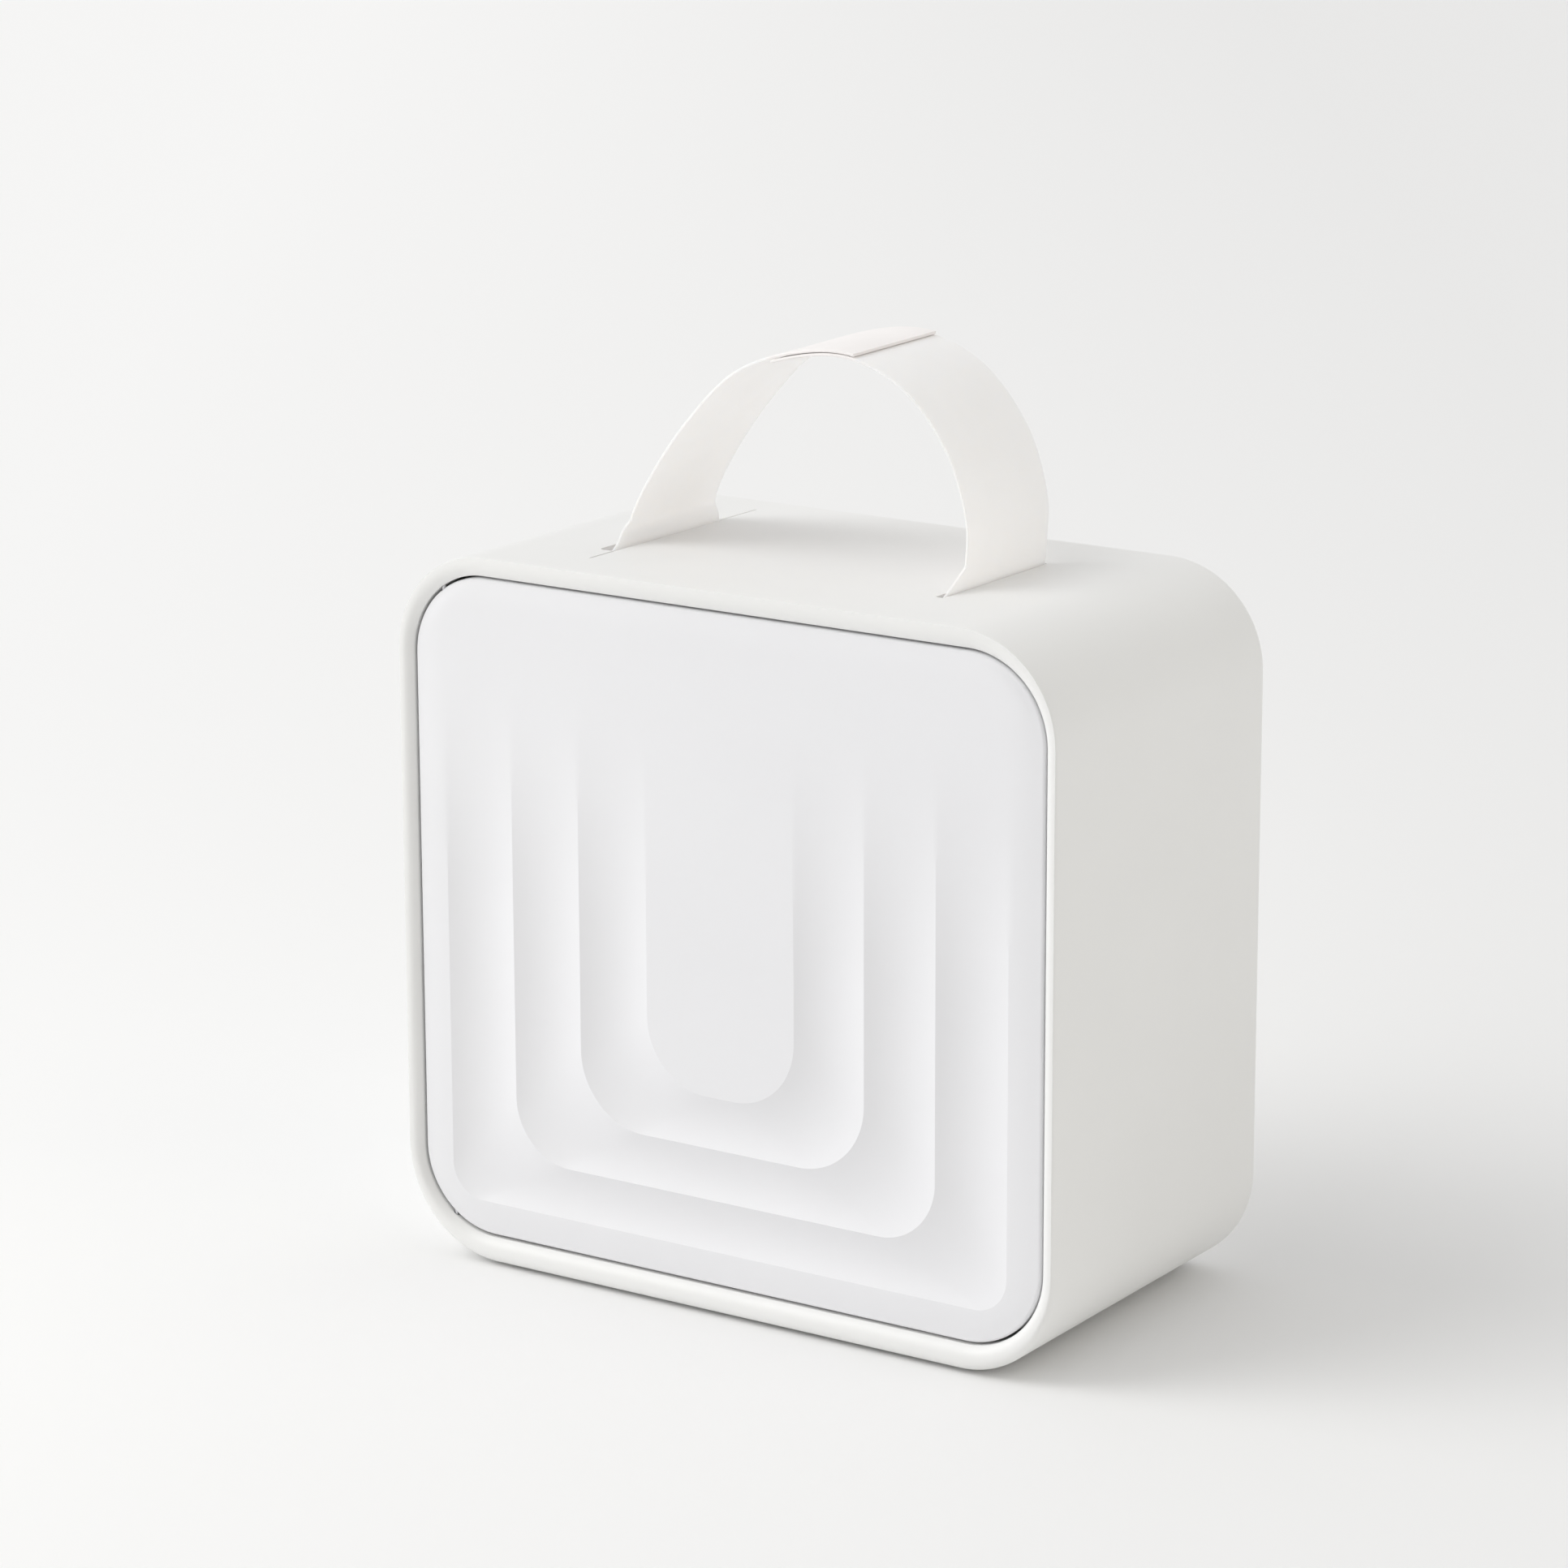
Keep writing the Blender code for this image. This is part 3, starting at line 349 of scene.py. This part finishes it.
def ramp(tree, source, low, high, start=0.3, stop=0.7):
    """Colours from low to high as the source goes from start to stop."""
    node = tree.nodes.new("ShaderNodeValToRGB")
    node.color_ramp.elements[0].position = start
    node.color_ramp.elements[1].position = stop
    node.color_ramp.elements[0].color = (*low, 1.0)
    node.color_ramp.elements[1].color = (*high, 1.0)
    tree.links.new(source, node.inputs["Fac"])
    return node.outputs["Color"]


def bump(tree, shader, source, strength, distance):
    """A bump over whatever already feeds the shader's normal."""
    node = tree.nodes.new("ShaderNodeBump")
    node.inputs["Strength"].default_value = strength
    node.inputs["Distance"].default_value = distance
    tree.links.new(source, node.inputs["Height"])
    if shader.inputs["Normal"].is_linked:
        tree.links.new(shader.inputs["Normal"].links[0].from_socket, node.inputs["Normal"])
    tree.links.new(node.outputs["Normal"], shader.inputs["Normal"])


def drifting(tree, shader, colour, tint, scale):
    """A colour that drifts by tint either way, in clouds."""
    low = tuple(max(c - tint, 0.0) for c in colour)
    high = tuple(min(c + tint, 1.0) for c in colour)
    clouds = noise(tree, scale, detail=2.0)
    tree.links.new(ramp(tree, clouds, low, high), shader.inputs["Base Color"])


def uneven(tree, shader, roughness, spread, scale, stretch=None):
    """A roughness that varies by spread either way, in patches."""
    patches = noise(tree, scale, detail=4.0, stretch=stretch)
    level = ramp(tree, patches, (roughness - spread,) * 3, (roughness + spread,) * 3)
    tree.links.new(level, shader.inputs["Roughness"])


def plastic(name, colour, roughness, tint=0.010, grain=0.00002, grain_scale=2600.0, waves=0.0):
    """Moulded plastic: colour drift, uneven sheen, spark-eroded grain and faint sink waves."""
    made, tree, shader = nodes_of(name)
    drifting(tree, shader, colour, tint, scale=9.0)
    uneven(tree, shader, roughness, spread=0.05, scale=60.0)
    bump(tree, shader, noise(tree, grain_scale, detail=2.0), strength=0.3, distance=grain)
    if waves:
        bump(tree, shader, noise(tree, scale=22.0, detail=1.0), strength=0.25, distance=waves)
    return made


def metal(name, colour, roughness, stretch, grain=0.00002):
    """Drawn or brushed metal, with its lines along the axis that stretch scales down."""
    made, tree, shader = nodes_of(name)
    shader.inputs["Metallic"].default_value = 1.0
    drifting(tree, shader, colour, tint=0.03, scale=30.0)
    uneven(tree, shader, roughness, spread=0.09, scale=420.0, stretch=stretch)
    bump(tree, shader, noise(tree, scale=900.0, stretch=stretch), strength=0.35, distance=grain)
    return made


def strap_material():
    """Soft matt band: close weave, cloudy tone and light passing through where it is single."""
    made, tree, shader = nodes_of("strap_band")
    drifting(tree, shader, (0.955, 0.925, 0.915), tint=0.012, scale=40.0)
    uneven(tree, shader, roughness=0.66, spread=0.08, scale=90.0)
    doubled = tree.nodes.new("ShaderNodeMath")
    doubled.operation = "COMPARE"
    doubled.inputs[1].default_value = DOUBLED_MIDDLE
    doubled.inputs[2].default_value = DOUBLED_HALF
    tree.links.new(along(tree, object_place(tree), (1.0, 0.0, 0.0)), doubled.inputs[0])
    weight = tree.nodes.new("ShaderNodeMapRange")
    weight.inputs["To Min"].default_value = THROUGH_LIGHT
    weight.inputs["To Max"].default_value = 0.0
    tree.links.new(doubled.outputs["Value"], weight.inputs["Value"])
    tree.links.new(weight.outputs["Result"], shader.inputs["Subsurface Weight"])
    shader.inputs["Subsurface Radius"].default_value = (1.0, 0.9, 0.8)
    shader.inputs["Subsurface Scale"].default_value = 0.009
    shader.inputs["Sheen Weight"].default_value = 0.25
    for threads in ("Z", "Y"):
        wave = tree.nodes.new("ShaderNodeTexWave")
        wave.bands_direction = threads
        wave.inputs["Scale"].default_value = 420.0
        wave.inputs["Distortion"].default_value = 0.5
        tree.links.new(object_place(tree), wave.inputs["Vector"])
        bump(tree, shader, wave.outputs["Fac"], strength=0.10, distance=0.00004)
    return made


def rubber_material():
    """Dull grey rubber with a fine grain."""
    made, tree, shader = nodes_of("soft_rubber")
    drifting(tree, shader, (0.36, 0.36, 0.37), tint=0.02, scale=50.0)
    uneven(tree, shader, roughness=0.74, spread=0.07, scale=140.0)
    bump(tree, shader, noise(tree, scale=1700.0), strength=0.45, distance=0.00003)
    return made


def foam_material():
    """Yellowish insulating foam with small cells."""
    made, tree, shader = nodes_of("cell_foam")
    drifting(tree, shader, (0.78, 0.71, 0.54), tint=0.05, scale=14.0)
    uneven(tree, shader, roughness=0.92, spread=0.05, scale=90.0)
    cells = tree.nodes.new("ShaderNodeTexVoronoi")
    cells.inputs["Scale"].default_value = 700.0
    tree.links.new(object_place(tree), cells.inputs["Vector"])
    bump(tree, shader, cells.outputs["Distance"], strength=0.7, distance=0.0004)
    return made


def clear_material():
    """Clear moulded plastic with slight haze."""
    made, tree, shader = nodes_of("clear_plastic")
    drifting(tree, shader, (0.965, 0.982, 0.985), tint=0.010, scale=12.0)
    uneven(tree, shader, roughness=0.10, spread=0.04, scale=50.0)
    shader.inputs["Transmission Weight"].default_value = 0.88
    shader.inputs["IOR"].default_value = 1.49
    bump(tree, shader, noise(tree, scale=24.0, detail=1.0), strength=0.2, distance=0.00015)
    return made


def board_material():
    """Green solder mask with paler copper tracks under it."""
    made, tree, shader = nodes_of("circuit_board")
    tracks = tree.nodes.new("ShaderNodeTexBrick")
    tracks.inputs["Scale"].default_value = 160.0
    tracks.inputs["Mortar Size"].default_value = 0.035
    tracks.inputs["Color1"].default_value = (0.012, 0.15, 0.06, 1)
    tracks.inputs["Color2"].default_value = (0.018, 0.19, 0.08, 1)
    tracks.inputs["Mortar"].default_value = (0.05, 0.34, 0.14, 1)
    turn = tree.nodes.new("ShaderNodeMapping")
    turn.inputs["Rotation"].default_value = (math.pi / 2, 0, 0)
    tree.links.new(object_place(tree), turn.inputs["Vector"])
    tree.links.new(turn.outputs["Vector"], tracks.inputs["Vector"])
    tree.links.new(tracks.outputs["Color"], shader.inputs["Base Color"])
    uneven(tree, shader, roughness=0.42, spread=0.08, scale=80.0)
    bump(tree, shader, tracks.outputs["Fac"], strength=0.4, distance=0.00004)
    return made


# ---------------------------------------------------------------- casing

def top_at(depth):
    """Height of the top face, which falls a little towards the back."""
    return TOP - TOP_FALL * depth / DEPTH


def body_ring(inset, depth):
    """The casing's outline, drawn in by inset."""
    corner = CORNER - inset
    return at_depth(outline(WIDTH / 2 - inset, BOTTOM + inset, top_at(depth) - inset, corner, corner,
                            CORNER_STEPS), depth)


def crest_ring(degrees):
    """Round the front edge, from the flat outer faces at 0 degrees to the crest at 90."""
    angle = math.radians(degrees)
    share = 1 - math.cos(angle)
    depth = CREST_ROUND * (1 - math.sin(angle))
    corner = CORNER - CREST_SIDE * share
    return at_depth(outline(WIDTH / 2 - CREST_SIDE * share, BOTTOM + CREST_LOW * share,
                            top_at(depth) - CREST_TOP * share, corner, corner, CORNER_STEPS), depth)


def pocket_ring(inset, depth, side_steps=1):
    """The door pocket's outline, drawn in by inset - RIM_INSET."""
    corner = POCKET_CORNER + RIM_INSET - inset
    return at_depth(outline(WIDTH / 2 - inset, BOTTOM + inset + RIM_LOW, TOP - inset - RIM_HIGH,
                            corner, corner, CORNER_STEPS, side_steps), depth)


def rim_ring(crest, mouth, share):
    """A ring on the funnel, which leaves the crest level and steepens towards the door."""
    ring = between(crest, mouth, share)
    for point in ring:
        point.y = depth_y(RIM_DROP * share ** RIM_BEND)
    return ring


def casing(made):
    """The funnel, the crest, the outer faces, the round back edge, the ledge and the inner faces."""
    crest, mouth = crest_ring(90), pocket_ring(RIM_INSET, RIM_DROP)
    rings = [mouth] + [rim_ring(crest, mouth, k / RIM_STEPS) for k in range(RIM_STEPS - 1, 0, -1)]
    rings += [crest_ring(degrees) for degrees in CREST_ANGLES]
    for k in range(BACK_STEPS + 1):
        angle = math.pi / 2 * k / BACK_STEPS
        rings.append(body_ring(BACK_ROUND * (1 - math.cos(angle)),
                               DEPTH - BACK_ROUND * (1 - math.sin(angle))))
    inner = LEDGE_INSET + LEDGE_WIDTH
    rings += [body_ring(LEDGE_INSET - EDGE_BREAK, DEPTH), body_ring(LEDGE_INSET, DEPTH - EDGE_BREAK),
              body_ring(LEDGE_INSET, LEDGE_FACE), body_ring(inner, LEDGE_FACE),
              body_ring(inner, LEDGE_FACE - LEDGE_THICK), body_ring(WALL, LEDGE_FACE - LEDGE_THICK),
              body_ring(WALL, POCKET_DEPTH), pocket_ring(RIM_INSET, POCKET_DEPTH),
              pocket_ring(RIM_INSET, RIM_DROP + EDGE_BREAK)]
    piece = loft("casing", rings, endless=True)
    cut(piece, slots_and_line())
    cut(piece, pin_holes())
    place_piece(piece, "base", "casing", made, "outer_shell")


def slots_and_line():
    """Cutters for the open left slot, the close right slot and the fine line past the left one."""
    front, rear = ROOT_FRONT - SLOT_SPARE, STRAP_BACK + SLOT_SPARE
    right = strap_point(LOWER_SPAN[1], -LAYER_STEP)[0]
    bm = bmesh.new()
    for low, high in ((SLOT_LEFT, SLOT_RIGHT), (right - RIGHT_SLOT_HALF, right + RIGHT_SLOT_HALF)):
        middle, half = (low + high) / 2, (high - low) / 2
        corner = half * SLOT_CORNER
        points = outline(half, depth_y(front), depth_y(rear), corner, corner, corner_steps=6)
        skin(bm, [[Vector((middle + x, y, z)) for x, y in points]
                  for z in (top_at(DEPTH) - WALL - CUT_SPARE, TOP + CUT_SPARE)])
    tool = new_piece("slot_tool", bm)
    bm = bmesh.new()
    add_box(bm, (SLOT_RIGHT - LINE_WIDTH / 2, depth_y(LINE_FRONT), top_at(LINE_BACK) - LINE_DEEP),
            (SLOT_RIGHT + LINE_WIDTH / 2, depth_y(LINE_BACK), TOP + LINE_SPARE))
    line = new_piece("line_tool", bm)
    step = tool.modifiers.new("join", "BOOLEAN")
    step.operation = "UNION"
    step.object = line
    bake_modifiers(tool)
    bpy.data.objects.remove(line, do_unlink=True)
    return tool


def pin_holes():
    """Cutters round both hinge pins."""
    bm = bmesh.new()
    for name in ("hinge_pin_lower", "hinge_pin_upper"):
        low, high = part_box(name)
        add_cylinder(bm, (low + high) / 2, PIN_CLEAR, high.z - low.z + PIN_SPARE)
    return new_piece("pin_tool", bm)


# ---------------------------------------------------------------- door

def fade(z):
    """Depth of the flutes at a height, from 1 low down to 0 near the top."""
    share = min(max((FADE_HIGH - (z - BOTTOM)) / (FADE_HIGH - FADE_LOW), 0.0), 1.0)
    return share * share * (3 - 2 * share)


def cusp_outline(index):
    """The crest between two flutes, counted from the flat middle outwards."""
    low = BOTTOM + LOWEST_FLUTE + FLUTE_RISE * (FLUTES - index)
    return outline(MIDDLE_HALF + FLUTE_PITCH * index, low,
                   BOTTOM + FLUTE_TOP + FLUTE_TOP_STEP * index,
                   FLUTE_CORNERS[index], FLUTE_TOP_CORNER, CORNER_STEPS, SIDE_STEPS)


def door_ring(inset, depth):
    """The door's outline, drawn in by inset."""
    return pocket_ring(RIM_INSET + DOOR_GAP + inset, depth, SIDE_STEPS)


def door(made):
    """Scallops round a flat middle, a margin that falls away, and rounded edges."""
    brow = cusp_outline(0)
    middle = Vector((0.0, sum(z for x, z in brow) / len(brow)))
    level = [Vector(point).lerp(middle, MIDDLE_SHRINK) for point in brow]
    rings = [at_depth(level, DOOR_FACE), at_depth(brow, DOOR_FACE)]
    for index in range(FLUTES):
        inner, outer = cusp_outline(index), cusp_outline(index + 1)
        for k in range(1, FLUTE_STEPS + 1):
            share = k / FLUTE_STEPS
            ring = []
            for (x0, z0), (x1, z1) in zip(inner, outer):
                x, z = x0 + share * (x1 - x0), z0 + share * (z1 - z0)
                dip = FLUTE_DEPTH * 4 * share * (1 - share) * fade(z)
                ring.append(Vector((x, depth_y(DOOR_FACE + dip), z)))
            rings.append(ring)
    edge, rear = DOOR_FACE + DOOR_CROWN, DOOR_FACE + DOOR_THICK
    last, brink = rings[-1], door_ring(DOOR_EDGE_ROUND, edge)
    for k in range(1, MARGIN_STEPS + 1):
        share = k / MARGIN_STEPS
        ring = between(last, brink, share)
        for point in ring:
            point.y = depth_y(DOOR_FACE + DOOR_CROWN * share * share)
        rings.append(ring)
    for k in range(1, EDGE_STEPS + 1):
        angle = math.pi / 2 * k / EDGE_STEPS
        rings.append(door_ring(DOOR_EDGE_ROUND * (1 - math.sin(angle)),
                               edge + DOOR_EDGE_ROUND * (1 - math.cos(angle))))
    for k in range(EDGE_STEPS + 1):
        angle = math.pi / 2 * k / EDGE_STEPS
        rings.append(door_ring(DOOR_REAR_ROUND * (1 - math.cos(angle)),
                               rear - DOOR_REAR_ROUND * (1 - math.sin(angle))))
    piece = loft("door_front", rings, angle=DOOR_SMOOTH)
    cut(piece, pin_holes(), angle=DOOR_SMOOTH)
    place_piece(piece, "door", "door", made, "door_panel")


def gasket(made):
    """A seal with a foot, a waist and a round lip."""
    low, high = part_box("door_gasket")
    start, stop = low.y - FRONT, high.y - FRONT
    tall = stop - start
    middle, half = GASKET_INSET + GASKET_WIDTH / 2, GASKET_WIDTH / 2
    rings = [pocket_ring(middle + across * half, start + up * tall) for across, up in GASKET_SECTION]
    place_piece(loft("gasket_profile", rings, endless=True, angle=50), "door", "seal", made,
                "door_gasket")


# ---------------------------------------------------------------- strap

def smooth_point(points, place):
    """Catmull-Rom point at place, counted in control points, and its direction."""
    index = min(int(place), len(points) - 2)
    t = place - index
    before, here, there, beyond = [Vector(points[min(max(k, 0), len(points) - 1)])
                                   for k in (index - 1, index, index + 1, index + 2)]
    slope = there - before
    bend = 2 * before - 5 * here + 4 * there - beyond
    twist = 3 * here - before - 3 * there + beyond
    point = (2 * here + slope * t + bend * t * t + twist * t ** 3) / 2
    way = (slope + 2 * bend * t + 3 * twist * t * t) / 2
    return point, way.normalized()


def strap_point(place, offset):
    """A point (x, z) on the strap's route in metres, moved outwards by offset."""
    point, way = smooth_point(STRAP_ROUTE, place)
    return point * MM + Vector((0, STRAP_BASE)) + Vector((-way.y, way.x)) * offset


def strap_section(front, rear):
    """Points (depth, offset) round the band's rounded section."""
    round_edge = STRAP_THICK * STRAP_EDGE
    half = STRAP_THICK / 2
    points = outline(half, front, rear, round_edge, round_edge, corner_steps=4, side_steps=8)
    return [(depth, offset) for offset, depth in points]


def strap_layer(name, node, span, offset, steps, made):
    """One layer of the band, which widens to the front at its root."""
    rings = []
    for k in range(steps + 1):
        place = span[0] + (span[1] - span[0]) * k / steps
        above = max(strap_point(place, offset).y - STRAP_BASE, 0.0)
        flare = max(1 - above / ROOT_HEIGHT, 0.0)
        front = STRAP_FRONT + (ROOT_FRONT - STRAP_FRONT) * flare
        ring = []
        for depth, out in strap_section(front, STRAP_BACK):
            point = strap_point(place, offset + out)
            ring.append(Vector((point.x, depth_y(depth), point.y)))
        rings.append(ring)
    place_piece(loft(name, rings, angle=40), "base", "strap", made, node)


# ---------------------------------------------------------------- fittings

def refined(node, body, slot, made, width, angle=32):
    """Stand for a CAD node with the same solid, its flat facets joined and its edges rounded."""
    bm = bmesh.new()
    bm.from_mesh(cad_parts[node].data)
    bmesh.ops.remove_doubles(bm, verts=bm.verts, dist=WELD)
    bmesh.ops.dissolve_limit(bm, angle_limit=math.radians(FLAT_WITHIN), verts=bm.verts,
                             edges=bm.edges)
    piece = new_piece(node + "_fine", bm, angle)
    if width:
        step = piece.modifiers.new("edges", "BEVEL")
        step.width = width
        step.segments = 2
        step.angle_limit = math.radians(BEVEL_ABOVE)
        bake_modifiers(piece, BEVEL_SMOOTH)
    place_piece(piece, body, slot, made, node)


def screws(made):
    """Domed heads with a cross recess."""
    turn = Matrix.Rotation(math.pi / 2, 4, "X")
    for end in ("left_low", "left_high", "right_low", "right_high"):
        low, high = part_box("cover_screw_" + end)
        middle = (low + high) / 2
        radius = (high.x - low.x) / 2
        bm = bmesh.new()
        rings = []
        for share, depth in SCREW_HEAD:
            rings.append([Vector((middle.x + radius * share * math.cos(math.tau * k / SCREW_SIDES),
                                  high.y - depth,
                                  middle.z + radius * share * math.sin(math.tau * k / SCREW_SIDES)))
                          for k in range(SCREW_SIDES)])
        skin(bm, rings)
        add_cylinder(bm, (middle.x, (low.y + high.y - SCREW_HEAD_THICK) / 2, middle.z), SCREW_SHANK,
                     high.y - SCREW_HEAD_THICK - low.y, turn, SHANK_SIDES)
        piece = new_piece("screw_" + end, bm)
        tool = bmesh.new()
        for across, tall in ((RECESS_LONG, RECESS_SHORT), (RECESS_SHORT, RECESS_LONG)):
            add_box(tool, (middle.x - across, high.y - RECESS_DEEP, middle.z - tall),
                    (middle.x + across, high.y + CUT_SPARE, middle.z + tall))
        cut(piece, new_piece("recess_tool", tool))
        place_piece(piece, "base", "steel", made, "cover_screw_" + end)


def fittings():
    """The gasket, the screws and every CAD piece that keeps its solid, with its bevel width."""
    gloss = plastic("liner_gloss", (0.86, 0.865, 0.87), 0.36, tint=0.008, grain=0.00001,
                    grain_scale=1600.0, waves=0.00006)
    casing_inner = plastic("moulded_white", (0.85, 0.85, 0.84), 0.5)
    cover = plastic("cover_white", (0.84, 0.84, 0.83), 0.52, grain=0.00005, grain_scale=1500.0)
    black = plastic("black_plastic", (0.022, 0.022, 0.024), 0.46, tint=0.006, grain=0.00003,
                    grain_scale=1900.0)
    grey = plastic("switch_grey", (0.30, 0.30, 0.31), 0.5, tint=0.012, grain=0.00003,
                   grain_scale=1900.0)
    rubber = rubber_material()
    steel = metal("drawn_steel", (0.62, 0.62, 0.64), 0.30, stretch=(1.0, 1.0, 0.08))
    aluminium = metal("extruded_aluminium", (0.76, 0.77, 0.78), 0.36, stretch=(1.0, 1.0, 0.03))
    ceramic = plastic("ceramic_white", (0.86, 0.86, 0.84), 0.6, tint=0.02, grain=0.00004,
                      grain_scale=700.0)
    foam = foam_material()
    clear = clear_material()
    gasket(plastic("gasket_grey", (0.55, 0.55, 0.56), 0.55, grain=0.00003, grain_scale=1700.0))
    screws(steel)
    table = (
        (("inner_liner", "inner_fan_cover", "shelf_rail_left", "shelf_rail_right"), "base", "liner",
         gloss, 0.0006),
        (("door_liner",), "door", "liner", gloss, 0.0006),
        (("door_bin",), "door", "tray", clear, 0.0),
        (("shelf",), "base", "tray", clear, 0.0),
        (("rear_cover",), "base", "casing", cover, 0.0003),
        (("strap_anchor_left", "strap_anchor_right", "board_post_lower", "board_post_upper"), "base",
         "casing", casing_inner, 0.0),
        (("foam_insulation",), "base", "foam", foam, 0.0),
        (("door_foam",), "door", "foam", foam, 0.0),
        (("door_magnet",), "door", "steel", steel, 0.0002),
        (("catch_plate", "hinge_pin_lower", "hinge_pin_upper"), "base", "steel", steel, 0.0002),
        (("cold_sink", "spacer_block", "heat_sink"), "base", "aluminium", aluminium, 0.0002),
        (("thermoelectric_module",), "base", "ceramic", ceramic, 0.0003),
        (("fan_frame", "inner_fan_frame", "power_supply", "ac_inlet", "dc_inlet"), "base", "black",
         black, 0.0004),
        (("switch_bezel",), "base", "black", black, 0.0003),
        (("fan_rotor",), "fan", "black", black, 0.0002),
        (("inner_fan_rotor",), "inner_fan", "black", black, 0.0002),
        (("mode_switch",), "switch", "seal", grey, 0.0005),
        (("control_board",), "base", "board", board_material(), 0.0002),
        (("foot_front_left", "foot_front_right", "foot_rear_left", "foot_rear_right"), "base",
         "seal", rubber, 0.0003))
    for names, body, slot, made, width in table:
        for node in names:
            refined(node, body, slot, made, width)


# ---------------------------------------------------------------- stage

def along(tree, place, way):
    """How far a place lies along a direction."""
    node = tree.nodes.new("ShaderNodeVectorMath")
    node.operation = "DOT_PRODUCT"
    node.inputs[1].default_value = Vector(way).normalized()
    tree.links.new(place, node.inputs[0])
    return node.outputs["Value"]


def floor():
    """A wide pale sheet, with painted light falloff in its colour: lighter on the left, painted shade
    towards the right.
    """
    bm = bmesh.new()
    bmesh.ops.create_grid(bm, x_segments=2, y_segments=2, size=FLOOR_HALF)
    sheet = new_piece("floor", bm)
    made, tree, shader = nodes_of("studio_floor_painted_falloff")
    level = tree.nodes.new("ShaderNodeMapRange")
    level.inputs["From Min"].default_value = -FLOOR_SPREAD
    level.inputs["From Max"].default_value = FLOOR_SPREAD
    tree.links.new(along(tree, object_place(tree), FLOOR_WAY), level.inputs["Value"])
    # Painted light falloff: the floor's colour darkens from the lit left towards the right
    tone = ramp(tree, level.outputs["Result"], PAINTED_LIT_FLOOR_LEFT, PAINTED_SHADE_FLOOR_RIGHT, start=0.0, stop=1.0)
    tree.links.new(tone, shader.inputs["Base Color"])
    shader.inputs["Roughness"].default_value = 0.9
    shader.inputs["Specular IOR Level"].default_value = 0.0
    sheet.data.materials.append(made)


def air():
    """Soft light from all round, weaker from the front right."""
    world = bpy.data.worlds.new("studio_air")
    world.use_nodes = True
    tree = world.node_tree
    way = tree.nodes.new("ShaderNodeTexCoord").outputs["Generated"]
    level = tree.nodes.new("ShaderNodeMapRange")
    level.interpolation_type = "SMOOTHSTEP"
    level.inputs["From Min"].default_value = AIR_DARK_EDGE
    level.inputs["From Max"].default_value = 1.0
    level.inputs["To Min"].default_value = AIR_HIGH
    level.inputs["To Max"].default_value = AIR_LOW
    tree.links.new(along(tree, way, AIR_DARK_WAY), level.inputs["Value"])
    tree.links.new(level.outputs["Result"], tree.nodes["Background"].inputs["Strength"])
    tree.nodes["Background"].inputs["Color"].default_value = (1.0, 1.0, 1.0, 1)
    bpy.context.scene.world = world


def add_lamp(light, place, way):
    """Hang a light at place, with way pointing back along its rays."""
    lamp = bpy.data.objects.new(light.name, light)
    lamp.location = place
    lamp.rotation_euler = Vector(way).to_track_quat("Z", "Y").to_euler()
    bpy.context.scene.collection.objects.link(lamp)


def lamps():
    """Three broad lights, the main ones from the left, and a small fill close to the front left."""
    for name, way, angle, strength, colour in SUNS:
        sun = bpy.data.lights.new(name, "SUN")
        sun.energy = strength
        sun.angle = math.radians(angle)
        sun.color = colour
        add_lamp(sun, way, way)
    fill = bpy.data.lights.new("fill", "AREA")
    fill.shape = "DISK"
    fill.size = FILL_SIZE
    fill.energy = FILL_POWER
    fill.color = FILL_COLOUR
    add_lamp(fill, FILL_PLACE, Vector(FILL_PLACE) - Vector((0, 0, TOP / 2)))


def camera():
    """The photo's camera, fitted to the outlines of the object."""
    azimuth, elevation, roll = (math.radians(v) for v in
                                (CAMERA_AZIMUTH, CAMERA_ELEVATION, CAMERA_ROLL))
    away = Vector((math.sin(azimuth) * math.cos(elevation), -math.cos(azimuth) * math.cos(elevation),
                   math.sin(elevation)))
    right = Vector((0, 0, 1)).cross(away).normalized()
    up = away.cross(right)
    across = right * math.cos(roll) + up * math.sin(roll)
    upright = up * math.cos(roll) - right * math.sin(roll)
    turn = Matrix((across, upright, away)).transposed().to_4x4()
    data = bpy.data.cameras.new("camera")
    data.sensor_width = CAMERA_SENSOR
    data.lens = CAMERA_LENS
    data.clip_end = CAMERA_REACH
    thing = bpy.data.objects.new("camera", data)
    thing.matrix_world = Matrix.Translation(CAMERA_PLACE) @ turn
    bpy.context.scene.collection.objects.link(thing)
    bpy.context.scene.camera = thing


camera()
floor()
air()
lamps()
bpy.context.scene.view_settings.view_transform = "Standard"
casing(plastic("casing_white", (0.88, 0.88, 0.87), roughness=0.42))
door(plastic("door_white", (0.845, 0.845, 0.865), roughness=0.5))
band = strap_material()
strap_layer("strap_upper", "strap_left", UPPER_SPAN, 0.0, UPPER_STEPS, band)
strap_layer("strap_lower", "strap_right", LOWER_SPAN, -LAYER_STEP, LOWER_STEPS, band)
fittings()
